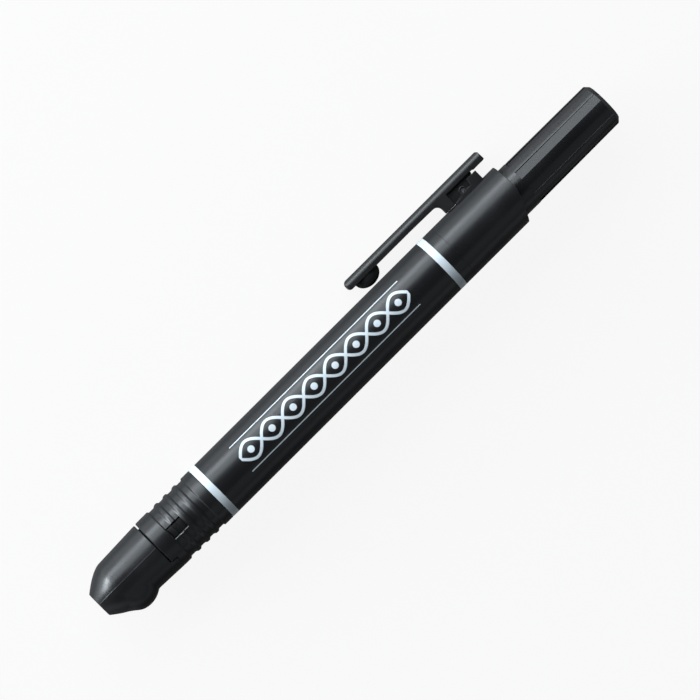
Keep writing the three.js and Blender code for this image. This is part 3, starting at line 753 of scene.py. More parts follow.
@dataclass(frozen=True)
class PrintedTube:
    """Glossy black tube with silver bands and a silver braid printed on it."""

    name: str = "printed_tube"
    colour: Colour = (0.0064, 0.0064, 0.0071)
    silver: Colour = (0.52, 0.57, 0.6)
    worn: Colour = (0.43, 0.475, 0.5)
    metal: float = 0.12
    gloss: Point = (0.26, 0.31)
    rubbed: float = 0.1
    print_roughness: float = 0.2
    grain: float = 0.3
    relief: float = 6e-6
    rim: float = 0.7
    radius: float = 6.504
    bands: tuple[Point, ...] = ((32.0, 33.6), (97.3, 98.95))
    braid: Point = (41.0, 89.0)
    centre: float = 84.0
    height: float = 2.1
    wave: float = 12.0
    line: float = 0.62
    dot: float = 0.75
    rules_at: Point = (-3.5, 3.5)
    rule: float = 0.115

    def build(self, effects: Effects) -> Material:
        """Builds the material.

        Args:
            effects: The shared node groups.

        Returns:
            The material.
        """
        material, graph, shader = new_material(self.name)
        grain = graph.group(effects.grain, Scale=3200.0)
        marks = graph.group(effects.handling, Amount=0.35)
        place = graph.group(effects.place)
        printed = self._print(graph, place["Along"], place["Angle"])
        ink = graph.mix(graph.span(grain["Cloud"], 0.35, 0.65, 0.9, 1.0), self.worn, self.silver)
        graph.feed(shader.inputs["Metallic"], printed * self.metal)
        rough = graph.span(grain["Cloud"], *CLOUDY, *self.gloss) + marks["Marks"] * self.rubbed
        rough = rough + printed * self.print_roughness + rim_softness(graph, self.rim)
        relief = grain["Height"] * self.grain + printed
        coat(graph, shader, graph.mix(printed, self.colour, ink), rough, relief, self.relief)
        return material

    def _print(self, graph: Graph, along: Number, angle: Number) -> Number:
        """Mask of everything that is printed in silver.

        Args:
            graph: The material's graph.
            along: Station along the pen, in millimetres.
            angle: Angle round it, in degrees.

        Returns:
            The mask.
        """
        def within(off: Number, half: float, soft: float = 0.03) -> Number:
            """Mask of a stripe by the distance from its middle line."""
            return graph.span(abs(off), half + soft, half - soft)

        around = (angle - self.centre) * (math.radians(1.0) * self.radius)
        start, end = self.braid
        inside = within(along - (start + end) / 2, (end - start) / 2)
        phase = (along - start) * (2 * math.pi / self.wave)
        swing = graph.math("SINE", phase) * self.height
        slope = graph.math("COSINE", phase) * (2 * math.pi * self.height / self.wave)
        stretch = graph.math("SQRT", slope ** 2.0 + 1.0)
        bead = graph.math("PINGPONG", along - start, self.wave / 4) - self.wave / 4
        reach = graph.math("SQRT", bead ** 2.0 + around ** 2.0)
        prints = [within(along - (low + high) / 2, (high - low) / 2) for low, high in self.bands]
        prints += [within((around - swing * side) / stretch, self.line / 2) * inside for side in (-1.0, 1.0)]
        prints.append(within(reach, self.dot) * inside)
        prints += [within(around - offset, self.rule, 0.025) * inside for offset in self.rules_at]
        mask = prints[0]
        for other in prints[1:]:
            mask = graph.math("MAXIMUM", mask, other)
        return mask


@dataclass(frozen=True)
class SpringSteel:
    """Drawn steel with a fine grain and a faint tarnish."""

    name: str = "spring_steel"
    colour: Colour = (0.56, 0.57, 0.58)
    tarnish: float = 0.7
    gloss: Point = (0.24, 0.36)
    relief: float = 4e-6

    def build(self, effects: Effects) -> Material:
        """Builds the material.

        Args:
            effects: The shared node groups.

        Returns:
            The material.
        """
        material, graph, shader = new_material(self.name)
        grain = graph.group(effects.grain, Scale=5200.0, Cloud=260.0)
        colour = graph.mix(grain["Cloud"], tinted(self.colour, self.tarnish), self.colour)
        rough = graph.span(grain["Cloud"], *CLOUDY, *self.gloss)
        coat(graph, shader, colour, rough, grain["Height"], self.relief)
        shader.inputs["Metallic"].default_value = 1.0
        return material


@dataclass(frozen=True)
class SoakedFibre:
    """Felt or fibre that is soaked with black ink."""

    name: str = "ink_fibre"
    colour: Colour = (0.010, 0.010, 0.014)
    dry: float = 4.0
    gloss: Point = (0.7, 0.95)
    relief: float = 3e-5

    def build(self, effects: Effects) -> Material:
        """Builds the material.

        Args:
            effects: The shared node groups.

        Returns:
            The material.
        """
        material, graph, shader = new_material(self.name)
        drawn = graph.drawn(along=900.0, across=5200.0)
        fibre = graph.noise(drawn, scale=1.0, detail=3.0, rough=0.6)
        grain = graph.group(effects.grain, Scale=2600.0, Cloud=400.0)
        colour = graph.mix(fibre, self.colour, tinted(self.colour, self.dry))
        coat(graph, shader, colour, graph.span(grain["Cloud"], *CLOUDY, *self.gloss), fibre, self.relief)
        return material


class Finishes:
    """All finishes of the pen, by the record's slots."""

    def __init__(self) -> None:
        """Builds the shared effects and every material."""
        effects = Effects()
        makers = {
            Slot.HOUSING: MouldedPlastic("housing_black", (0.0062, 0.0062, 0.0067), grain=4e-6),
            Slot.BARREL: PrintedTube(),
            Slot.BUTTON: MouldedPlastic("button_black", (0.0052, 0.0052, 0.0057), roughness=0.24, grain=4e-6),
            Slot.CLIP: MouldedPlastic("clip_black", (0.0062, 0.0061, 0.0062), grain=6e-6),
            Slot.STEEL: SpringSteel(),
            Slot.WHITE: MouldedPlastic("white_plastic", (0.74, 0.73, 0.70), lift=1.1, roughness=0.42,
                                       marks=0.2, rim=0.05),
            Slot.RUBBER: MouldedPlastic("seal_rubber", (0.022, 0.022, 0.024), roughness=0.62, cloud=0.1,
                                        grain=2e-5, scale=1500.0, marks=0.0, rim=0.1),
            Slot.FIBRE: SoakedFibre(),
        }
        self.by_slot = {slot: maker.build(effects) for slot, maker in makers.items()}


class Bench:
    """Where pieces are dressed and set on their bodies."""

    def __init__(self, frame: dict, finishes: Finishes) -> None:
        self.nodes = frame["nodes"]
        self.finishes = finishes

    def fit(self, piece: Object, body: Body, slot: Slot, *nodes: str) -> None:
        """Dresses a new piece, sets it on its body and lets it stand for CAD nodes.

        Args:
            piece: The new piece.
            body: The body that it rides on.
            slot: Its material slot.
            *nodes: The CAD nodes that it replaces.
        """
        piece.data.materials.append(self.finishes.by_slot[slot])
        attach(piece, body.value)
        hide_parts(*nodes)
        LOG.info("%s rides on %s", piece.name, body.value)

    def keep(self, node: str, slot: Slot) -> None:
        """Dresses a CAD node that keeps its shape.

        Args:
            node: Its name.
            slot: Its material slot.
        """
        material = self.finishes.by_slot[slot]
        piece = self.nodes[node]
        if not piece.material_slots:
            piece.data.materials.append(material)
        for holder in piece.material_slots:
            holder.material = material
        LOG.info("%s keeps its CAD shape", node)


# Sub-assemblies


@dataclass(frozen=True)
class Seam:
    """Joint between nose and grip: a notch on the clip side, a close fit round the tongue."""

    notch_half: float = 10.6
    notch: Point = (0.17, 0.42)
    keyed: Point = (0.03, 0.03)

    def cut(self, angle: float, keyed: bool, plain: float) -> Point:
        """Length and depth by which the edge is cut back.

        Args:
            angle: Angle from the clip side, in degrees.
            keyed: Whether the tongue is there.
            plain: Length and depth elsewhere.

        Returns:
            The cut as (length, depth).
        """
        if off_angle(angle, CLIP_SIDE) < self.notch_half:
            return self.notch
        return self.keyed if keyed else (plain, plain)


SEAM = Seam()


@dataclass
class Nose:
    """Nose shell: a dome with a flat open end, a round chin, a tongue and a spigot with two snap tabs."""

    tip_radius: float = 2.92
    tip_end: float = 0.22
    bore: float = 2.0
    wall: float = 1.3
    lip: Point = (0.15, 0.1)
    dome: tuple[Point, Point, Point] = ((0.0, 2.92), (3.78, 5.944), (5.9, 6.024))
    hollow: tuple[Point, Point, Point] = ((1.3, 2.62), (4.18, 5.254), (6.3, 5.354))
    hollow_end: float = 14.96
    rear_radius: float = 6.424
    fine_end: float = 13.6
    shoulder: float = 16.3
    shoulder_edge: float = 0.12
    shoulder_cut: float = 0.07
    tongue: float = 18.1
    tongue_half: float = 47.0
    groove: Point = (0.165, 0.26)
    rear: float = 26.0
    spigot: float = 5.444
    spigot_bore: float = 5.044
    spigot_inner: float = 15.63
    tab: tuple[float, float, float] = (20.58, 21.65, 23.79)
    tab_rise: tuple[float, float, float] = (0.5, 0.25, 0.12)
    tab_half: float = 11.2
    pivot: float = 7.7
    chin_radius: float = 5.35
    chin_drop: float = 1.97
    chin_blend: Point = (0.25, 0.3)
    facet: Point = (5.42, 6.81)
    facet_slope: float = 0.807
    sweep: float = 6.2
    sweep_half: float = 3.9
    seam_ridge: float = 0.035
    ridge_half: float = 1.0
    ridge_mark: float = 0.7
    rows: tuple[int, int, int] = (84, 8, 50)
    columns: int = 132

    def outside(self, x: float, angle: float) -> float:
        """Radius of the outside at a station and an angle.

        Args:
            x: Station along the pen.
            angle: Angle from the clip side, in degrees.

        Returns:
            The distance from the axis.
        """
        end, end_radius = self.dome[2]
        if x < end:
            radius = bezier(*self.dome, x)
        else:
            radius = end_radius + (self.rear_radius - end_radius) * (x - end) / (self.shoulder - end)
        down = -math.cos(math.radians(angle))
        side = math.sin(math.radians(angle))
        room = self.chin_radius ** 2 - (x - self.pivot) ** 2 - (self.chin_drop * side) ** 2
        if down > 0 and room > 0:
            chin = self.chin_drop * down + math.sqrt(room)
            flank = (self.facet[1] + self.facet_slope * (x - self.facet[0])) / down
            radius = soft_max(radius, soft_min(chin, flank, self.chin_blend[0]), self.chin_blend[1])
        ridge = max(0.0, 1 - off_angle(angle, *FLANKS) / self.ridge_half)
        return radius + self.seam_ridge * ridge

    def inside(self, x: float, angle: float) -> float:
        """Radius of the cavity, with the room that the lid sweeps.

        Args:
            x: Station along the pen.
            angle: Angle from the clip side, in degrees.

        Returns:
            The distance from the axis.
        """
        end, end_radius = self.hollow[2]
        radius = bezier(*self.hollow, x) if x < end else end_radius
        down = -math.cos(math.radians(angle))
        side = abs(math.sin(math.radians(angle)))
        square = self.sweep ** 2 - (x - self.pivot) ** 2
        if down > 0 and square > 0:
            radius = max(radius, min(math.sqrt(square), self.sweep_half / max(side, TINY)))
        return radius

    def profile(self, angle: float) -> list[Point]:
        """Closed run of points: end face, outside, tongue or shoulder, spigot and cavity.

        Args:
            angle: Angle from the clip side, in degrees.

        Returns:
            The run as (x, radius) points.
        """
        keyed = off_angle(angle, CHIN_SIDE) < self.tongue_half
        tabbed = off_angle(angle, *FLANKS) < self.tab_half
        end = self.tongue if keyed else self.shoulder
        stations = spaced(self.tip_end, self.fine_end, self.rows[0])
        stations += spaced(self.fine_end, end - self.shoulder_edge, self.rows[1])[1:]
        rim = [(x, self.outside(x, angle)) for x in stations]
        length, depth = SEAM.cut(angle, keyed, self.shoulder_cut)
        half, sink = (2 * STEP, 0.0) if keyed else self.groove
        inner, outer = self.lip
        front = rounded([(self.wall, self.bore, 0), (0.0, self.bore, inner), (0.0, self.tip_radius, outer),
                         (self.tip_end, rim[0][1], 0)])[:-1]
        tab_front, tab_top, tab_rear = self.tab
        rise = self.tab_rise if tabbed else (0.0, 0.0, 0.0)
        rear_top = self.outside(self.shoulder, angle)
        spigot = self.spigot
        return [
            *front, *rim,
            (end - length + STEP / 10, rear_top), (end, rear_top - depth),
            (end, spigot), (end + half, spigot - sink), (end + 2 * half, spigot),
            (tab_front - STEP, spigot), (tab_front, spigot + rise[0]), (tab_top, spigot + rise[0]),
            (tab_top + STEP, spigot + rise[1]), (tab_rear, spigot + rise[2]), (tab_rear + STEP, spigot),
            (self.rear - LEAD_IN[0], spigot), (self.rear, spigot - LEAD_IN[1]),
            (self.rear, self.spigot_bore), (self.spigot_inner, self.spigot_bore),
            *((x, self.inside(x, angle)) for x in spaced(self.hollow_end, self.wall + STEP, self.rows[2])),
        ]

    def build(self) -> Object:
        """Builds the shell.

        Returns:
            The piece.
        """
        steps = (edges_of(self.tongue_half, CHIN_SIDE) + edges_of(SEAM.notch_half, CLIP_SIDE)
                 + edges_of(self.tab_half, *FLANKS))
        angles = sorted(columns(self.columns, steps) + edges_of(self.ridge_mark, *FLANKS))
        blank = Blank()
        blank.shell(angles, self.profile)
        return blank.finish("nose_shell_visual")


@dataclass
class Grip:
    """Grip sleeve: three rounded ribs, a socket for the nose's tongue and two snap windows."""

    front: float = 16.63
    front_cut: float = 0.1
    rear: float = 31.93
    rear_edge: Point = (0.12, 0.1)
    radius: float = 6.504
    valley: float = 6.164
    bore: float = 5.564
    ring_front: float = 18.75
    ring_end: float = 19.98
    rear_ring: float = 29.33
    ring_ease: float = 0.4
    ribs: tuple[float, ...] = (22.4, 24.94, 27.48)
    rib_front: Point = (0.95, 0.15)
    rib_rear: Point = (0.25, 0.8)
    spigot: float = 5.584
    spigot_bore: float = 5.184
    spigot_end: float = 37.93
    bore_taper: Point = (29.83, 30.43)
    socket: float = 18.11
    socket_half: float = 49.9
    window: Point = (20.27, 24.1)
    window_half: float = 1.4
    window_depth: float = 0.4
    window_chamfer: float = 0.11
    chamfer_turn: float = 1.1
    window_clear: float = 1.8
    rows: tuple[int, int, int] = (12, 36, 78)
    columns: int = 132

    def outside(self, x: float) -> float:
        """Radius of the outside at a station.

        Args:
            x: Station along the pen.

        Returns:
            The distance from the axis.
        """
        share = max(self._ease((self.ring_end + self.ring_ease - x) / self.ring_ease),
                    self._ease((x - self.rear_ring) / self.ring_ease))
        for centre in self.ribs:
            rise = (x - centre + self.rib_front[0]) / (self.rib_front[0] - self.rib_front[1])
            fall = (centre + self.rib_rear[1] - x) / (self.rib_rear[1] - self.rib_rear[0])
            share = max(share, min(self._flank(rise), self._ease(fall)))
        return self.valley + (self.radius - self.valley) * share

    @staticmethod
    def _flank(value: float) -> float:
        """Rise from 0 to 1 that is steepest halfway, for the side of a rib that faces the nose."""
        value = min(max(value, 0.0), 1.0)
        return value - 0.75 * math.sin(2 * math.pi * value) / (2 * math.pi)

    @staticmethod
    def _ease(value: float) -> float:
        """Smooth step between 0 and 1."""
        value = min(max(value, 0.0), 1.0)
        return value * value * (3 - 2 * value)

    def stations(self) -> tuple[list[float], int, int]:
        """Stations of the outside, with the rows of the window's two ends.

        Returns:
            The stations, and the first and last row of the window.
        """
        before = spaced(self.ring_front, self.window[0], self.rows[0])
        across = spaced(*self.window, self.rows[1])[1:]
        after = spaced(self.window[1], self.rear - self.rear_edge[0], self.rows[2])[1:]
        first = len(before) - 1
        return before + across + after, first, first + len(across)

    def sides(self) -> list[float]:
        """Angles of the long sides of both windows."""
        half = math.degrees(math.asin(self.window_half / (self.radius - self.window_depth)))
        return edges_of(half, *FLANKS)

    def lead(self, angle: float) -> list[Point]:
        """Points of the front edge.

        Args:
            angle: Angle from the clip side, in degrees.

        Returns:
            The run as (x, radius) points.
        """
        keyed = off_angle(angle, CHIN_SIDE) < self.socket_half
        start = self.socket if keyed else self.front
        length, depth = SEAM.cut(angle, keyed, self.front_cut)
        return [(start, self.bore), (start, self.radius - depth), (start + length, self.radius)]

    def tail(self) -> list[Point]:
        """Points of the rear edge, the spigot and the bore behind the windows."""
        return [
            (self.rear, self.radius - self.rear_edge[1]), (self.rear, self.spigot),
            (self.spigot_end - LEAD_IN[0], self.spigot), (self.spigot_end, self.spigot - LEAD_IN[1]),
            (self.spigot_end, self.spigot_bore), (self.bore_taper[1], self.spigot_bore),
            (self.bore_taper[0], self.bore),
        ]

    def profile(self, angle: float) -> list[Point]:
        """Closed run of points, from the front edge over the outside and back inside.

        Args:
            angle: Angle from the clip side, in degrees.

        Returns:
            The run as (x, radius) points.
        """
        low, high = self.window
        drop = self.window_chamfer if off_angle(angle, *self.sides()[1:3]) < 0.05 else 0.0
        outside = [(x, self.outside(x) - (drop if low <= x <= high else 0.0)) for x in self.stations()[0]]
        inside = [(x, self.bore) for x in spaced(high, low, self.rows[1])]
        return [*self.lead(angle), *outside, *self.tail(), *inside, (self.ring_front, self.bore)]

    def build(self) -> Object:
        """Builds the sleeve.

        Returns:
            The piece.
        """
        marks = edges_of(self.socket_half, CHIN_SIDE) + edges_of(SEAM.notch_half, CLIP_SIDE)
        sides = self.sides()
        angles = sides + [sides[1] + self.chamfer_turn, sides[2] - self.chamfer_turn]
        angles += [angle for angle in columns(self.columns, marks)
                   if off_angle(angle, *sides) > self.window_clear]
        angles.sort()
        stations, first, last = self.stations()
        lead = len(self.lead(CLIP_SIDE))
        inner_last = lead + len(stations) + len(self.tail()) + self.rows[1]
        windows = [
            Window(angles.index(low), angles.index(high), lead + first, lead + last, inner_last)
            for low, high in (sides[:2], sides[2:])
        ]
        blank = Blank()
        blank.shell(angles, self.profile, windows=windows)
        return blank.finish("grip_sleeve_visual")


@dataclass
class Barrel:
    """Barrel tube with a rear spigot and four guide ribs inside."""

    front: float = 31.97
    rear: float = 101.6
    radius: float = 6.504
    bore: float = 5.704
    bore_middle: float = 60.0
    spigot: float = 6.054
    spigot_end: float = 106.23
    guides: Point = (91.93, 101.93)
    guide_bore: float = 5.354
    guide_half: float = 5.3
    front_edge: Point = (0.05, 0.08)
    rear_edge: float = 0.03
    spigot_edge: Point = (0.15, 0.05)
    columns: int = 144

    def profile(self, angle: float) -> list[Point]:
        """Closed run of points.

        Args:
            angle: Angle from the clip side, in degrees.

        Returns:
            The run as (x, radius) points.
        """
        inner = self.guide_bore if off_angle(angle, *QUARTERS) < self.guide_half else self.bore
        low, high = self.guides
        return rounded([
            (self.bore_middle, self.bore, 0), (self.front, self.bore, self.front_edge[0]),
            (self.front, self.radius, self.front_edge[1]), (self.rear, self.radius, self.rear_edge),
            (self.rear, self.spigot, 0), (self.spigot_end, self.spigot, self.spigot_edge[0]),
            (self.spigot_end, self.bore, self.spigot_edge[1]), (high + STEP, self.bore, 0),
            (high, inner, 0), (low, inner, 0), (low - STEP, self.bore, 0),
        ])

    def build(self) -> Object:
        """Builds the tube.

        Returns:
            The piece.
        """
        blank = Blank()
        blank.shell(columns(self.columns, edges_of(self.guide_half, *QUARTERS)), self.profile)
        return blank.finish("barrel_tube_visual")


@dataclass
class Collar:
    """Rear collar with an oblique rim and the two lugs and rear block of the clip hinge."""

    front: float = 101.63
    rear: float = 119.45
    radius: float = 6.504
    socket: float = 6.174
    socket_end: float = 106.53
    bore: float = 5.42
    bore_middle: float = 112.0
    rim_cut: float = 2.5
    rim_edge: Point = (0.13, 0.06)
    front_edge: Point = (0.05, 0.03)
    columns: int = 144
    boss: float = 0.8
    saddle: float = 6.754
    saddle_front: float = 108.78
    saddle_foot: float = 5.9
    saddle_slope: float = 0.12
    boss_front: tuple[Point, Point] = ((-1.25, 0.0), (-0.82, 0.35))
    boss_rear: tuple[Point, Point] = ((0.95, 0.5), (1.3, 0.42))
    block: Point = (113.6, 116.3)
    block_top: float = 8.654
    block_slope: float = 0.25
    block_wall: float = 0.55
    wall_lap: float = 0.1
    wall_edge: float = 0.05
    lug: Point = (1.7, 2.3)
    lug_edge: float = 0.07
    pin_hole: float = 0.54
    pin_radius: float = 0.5
    pin_half: float = 1.88
    pin_chamfer: float = 0.08

    def profile(self, angle: float) -> list[Point]:
        """Closed run of points, its rear end on the oblique rim.

        Args:
            angle: Angle from the clip side, in degrees.

        Returns:
            The run as (x, radius) points.
        """
        cut = self.rim_cut * max(0.0, -math.cos(math.radians(angle)))
        end = self.rear - cut
        inner_end = self.rear - cut * self.bore / self.radius
        return rounded([
            (self.socket_end, self.bore, 0), (self.socket_end, self.socket, 0),
            (self.front, self.socket, self.front_edge[0]), (self.front, self.radius, self.front_edge[1]),
            (end, self.radius, self.rim_edge[0]), (inner_end, self.bore, self.rim_edge[1]),
            (self.bore_middle, self.bore, 0),
        ], steps=4)

    def lug_outline(self) -> list[Point]:
        """Outline of a lug with its round boss and the rear block.

        Returns:
            Its (x, z) points.
        """
        x, saddle = HINGE[0], self.saddle
        low, high = self.block
        block_foot = saddle + self.boss_rear[1][1]
        return [
            (self.saddle_front, self.saddle_foot), (self.saddle_front + self.saddle_slope, saddle),
            *((x + off, saddle + rise) for off, rise in self.boss_front),
            *arc(HINGE, self.boss, range(165, -16, -15)),
            *((x + off, saddle + rise) for off, rise in self.boss_rear),
            (low, block_foot), (low + self.block_slope, self.block_top),
            (high, self.block_top), (high, self.saddle_foot),
        ]

    def build(self) -> Object:
        """Builds the collar.

        Returns:
            The piece.
        """
        blank = Blank()
        blank.shell(columns(self.columns), self.profile)
        blank.pair(self.lug_outline(), self.lug, self.pin_hole, self.lug_edge)
        front, rear = self.block[1] - self.block_wall, self.block[1]
        wall = [(front, self.saddle_foot), (rear, self.saddle_foot), (rear, self.block_top),
                (front, self.block_top)]
        reach = self.lug[0] + self.wall_lap
        blank.plate(wall, -reach, reach, edge=self.wall_edge)
        return blank.finish("rear_collar_visual")

    def pin(self) -> Object:
        """Builds the steel pin of the hinge, its ends chamfered.

        Returns:
            The piece.
        """
        radius, half, chamfer = self.pin_radius, self.pin_half, self.pin_chamfer
        ends = ((-half, radius - chamfer), (chamfer - half, radius), (half - chamfer, radius),
                (half, radius - chamfer))
        blank = Blank()
        blank.loops([[Vector((x, y, z)) for x, z in arc(HINGE, ring, spaced(0, 360, 32)[:-1])]
                     for y, ring in ends])
        return blank.finish("clip_pin_visual", sharp=30)


@dataclass
class Clip:
    """Clip: a bar with rounded upper edges, a gripping ball under its free end, a root and two cheeks."""

    front: float = 81.0
    rear: float = 119.3
    top: float = 11.404
    under: float = 9.154
    rear_under: float = 9.284
    half: float = 2.3
    crown: Point = (1.5, 1.45)
    round_end: float = 0.9
    edge: float = 0.12
    corner: float = 0.16
    bar: Point = (84.0, 98.0)
    top_run: Point = (118.0, 82.5)
    sag: Point = (102.0, 0.055)
    root_sag: float = 0.1
    root: Point = (106.16, 108.6)
    root_bottom: float = 6.53
    fillet: float = 1.3
    tail: tuple[Point, ...] = ((113.0, 0.0), (115.5, 0.02), (116.3, 0.1), (116.45, 0.26))
    heel: tuple[Point, ...] = ((0.0, 0.5), (0.08, 0.38), (0.35, 0.08), (0.5, 0.0))
    ball: tuple[float, float, float] = (3.01, 2.1, 2.32)
    ball_at: float = 85.65
    ball_slices: tuple[float, ...] = (26, 13, 0, -8, -16, -24, -32, -40, -48, -56, -64, -72, -79, -85, -89)
    cheek: Point = (0.85, 1.5)
    cheek_radius: float = 0.95
    cheek_edge: float = 0.04
    lap: float = 0.1
    cheek_rear: float = 115.45
    cheek_slant: Point = (114.0, 0.55)
    cheek_corner: float = 0.5
    pin_hole: float = 0.58

    def outline(self) -> list[Point]:
        """Outline of the bar and its root seen from the side, anticlockwise from the top of the free end.

        Returns:
            Its (x, z) points.
        """
        end, fillet, cut = self.round_end, self.fillet, self.corner
        front, rear = self.root
        sag_at, sag = self.sag
        tip = self.front + end
        tail_under = self.rear_under - self.tail[-1][1]
        return [
            *arc((tip, self.top - end), end, spaced(90, 180, 8)),
            *arc((tip, self.under + end), end, spaced(180, 270, 8)),
            *((x, self.under) for x in spaced(*self.bar, 14)),
            (front - 6 * fillet, self.under), (sag_at, self.under - sag),
            *arc((front - fillet, self.under - self.root_sag - fillet), fillet, spaced(90, 0, 8)),
            (front, self.root_bottom + cut), (front + cut, self.root_bottom),
            (rear - cut, self.root_bottom), (rear, self.root_bottom + cut),
            (rear, self.rear_under - self.lap), (rear + self.lap, self.rear_under),
            *((x, self.rear_under - drop) for x, drop in self.tail),
            (self.rear - cut, tail_under), (self.rear, tail_under + cut),
            *((self.rear - back, self.top - drop) for back, drop in self.heel),
            *((x, self.top) for x in spaced(*self.top_run, 36)),
        ]

    def rings(self) -> list[list[Vector]]:
        """Outline at several heights across the bar, drawn in along its edges and under the crown.

        Returns:
            The rings from side to side.
        """
        outline = self.outline()
        outward = []
        for index in range(len(outline)):
            before, after = Vector(outline[index - 1]), Vector(outline[(index + 1) % len(outline)])
            way = (after - before).normalized()
            outward.append(Vector((way.y, -way.x)))
        crown_width, crown_depth = self.crown
        rings = []
        for turn in (math.radians(angle) for angle in spaced(0, 90, 8)):
            tuck = self.edge * (1 - math.sin(turn))
            ceiling = self.top - crown_depth * (1 - math.sin(turn))
            ring = []
            for (x, z), normal in zip(outline, outward):
                spot = Vector((x, z)) - normal * tuck
                share = min(max((z - self.under) / (self.top - self.under), 0.0), 1.0)
                width = self.edge + (crown_width - self.edge) * share ** 2
                ring.append(Vector((spot.x, self.half - width * (1 - math.cos(turn)), min(spot.y, ceiling))))
            rings.append(ring)
        mirrored = [[Vector((spot.x, -spot.y, spot.z)) for spot in ring] for ring in reversed(rings)]
        return rings + mirrored

    def grip_ball(self) -> list[list[Vector]]:
        """Rings of the half ball under the free end, closed inside the bar.

        Returns:
            The rings from the top down.
        """
        length, width, depth = self.ball
        circle = arc((0.0, 0.0), 1.0, spaced(0, 360, 56)[:-1])
        rings = []
        for tilt in (math.radians(angle) for angle in self.ball_slices):
            reach, z = math.cos(tilt), self.under + depth * math.sin(tilt)
            ring = [(self.ball_at + length * reach * x, width * reach * y, z) for x, y in circle]
            rings.append([Vector(spot) for spot in ring])
        return rings

    def cheek_outline(self) -> list[Point]:
        """Outline of a cheek that turns on the pin.

        Returns:
            Its (x, z) points.
        """
        low, high = HINGE[1] - self.cheek_radius, self.rear_under + self.lap
        front, slant = self.root[1] - self.lap, self.cheek_slant
        foot = arc(HINGE, self.cheek_radius, spaced(270, 315, 6))
        return [(front, low), *foot, (slant[0], low + slant[1]),
                (self.cheek_rear, high - self.cheek_corner), (self.cheek_rear, high), (front, high)]

    def build(self) -> Object:
        """Builds the clip.

        Returns:
            The piece.
        """
        blank = Blank()
        blank.loops(self.rings())
        blank.loops(self.grip_ball())
        blank.pair(self.cheek_outline(), self.cheek, self.pin_hole, self.cheek_edge)
        return blank.finish("clip_visual", sharp=35)


@dataclass
class Button:
    """Knock button: a flange in the barrel, a plain base ring and a shaft with eight flat recessed panels."""

    flange: Point = (103.43, 106.23)
    flange_radius: float = 5.604
    key_half: float = 6.3
    key_floor: float = 5.25
    key_lap: float = 0.1
    key_step: float = 0.25
    radius: float = 5.32
    bore: float = 4.37
    base_end: float = 121.5
    shaft: Point = (5.27, 5.15)
    draft_at: tuple[Point, ...] = ((139.0, 0.03), (133.0, 0.06), (127.0, 0.09))
    end: float = 145.0
    end_rings: Point = (2.0, 3.6)
    end_wall: float = 2.0
    end_fillet: float = 0.5
    end_round: Point = (0.04, 0.1)
    chamfer: float = 0.9
    end_edge: tuple[Point, ...] = ((0.12, -0.1), (0.04, -0.03), (-0.06, 0.0))
    base_edge: tuple[Point, ...] = ((0.01, 0.02), (0.06, 0.0))
    crown: float = 102.43
    crown_radius: float = 5.254
    panel_count: int = 8
    panel_half: float = 11.0
    panel_floor: float = 4.905
    panel_phase: float = 71.0
    panel_columns: tuple[float, ...] = (0.0, 4.0, 7.5, 11.0, 11.25, 11.9, 15.5, 19.0)

    def profile(self, angle: float) -> list[Point]:
        """Run of points from the middle of the end face to the inside of the end wall.

        Args:
            angle: Angle from the clip side, in degrees.

        Returns:
            The run as (x, radius) points.
        """
        front, rear = self.flange
        flange, neck = self.flange_radius, front
        if off_angle(angle, *QUARTERS) <= self.key_half + TINY:
            flange, rear, neck = self.key_floor, rear + self.key_lap, front - 2 * STEP
        pitch = 360 / self.panel_count
        off = (angle - self.panel_phase + pitch / 2) % pitch - pitch / 2
        sunk = abs(off) <= self.panel_half + TINY

        def depth(radius: float) -> float:
            """Radius that is no greater than the panel's flat floor."""
            return min(radius, self.panel_floor / math.cos(math.radians(off))) if sunk else radius

        wide, narrow = self.shaft
        stop, inner = self.end - self.chamfer, self.end - self.end_wall
        low_edge = wide + (narrow - wide) * STEP
        return [
            (self.end, 0.0), *((self.end, ring) for ring in self.end_rings),
            (self.end, narrow - self.chamfer - self.end_round[1]),
            (self.end - self.end_round[0], narrow - self.chamfer + self.end_round[0]),
            *((stop + ahead, depth(narrow + more)) for ahead, more in self.end_edge),
            *((x, depth(narrow + more)) for x, more in self.draft_at),
            (self.base_end + 3 * STEP, depth(low_edge)), (self.base_end, low_edge),
            *((self.base_end - back, self.radius - drop) for back, drop in self.base_edge),
            (rear, self.radius), (rear, flange), (front, flange),
            (neck, self.crown_radius), (self.crown, self.crown_radius), (self.crown, self.bore),
            (inner - self.end_fillet, self.bore), (inner, self.bore - self.end_fillet), (inner, 0.0),
        ]

    def build(self) -> Object:
        """Builds the button.

        Returns:
            The piece.
        """
        pitch = 360 / self.panel_count
        offsets = [-pitch / 2] + sorted({side * off for off in self.panel_columns for side in (-1, 1)})
        angles = [self.panel_phase + pitch * k + off for k in range(self.panel_count) for off in offsets]
        for step in (0.0, self.key_step):
            angles += edges_of(self.key_half + step, *QUARTERS)
        blank = Blank()
        blank.shell(sorted(angle % 360 for angle in angles), self.profile, on_axis=True)
        return blank.finish("knock_button_visual", sharp=32)


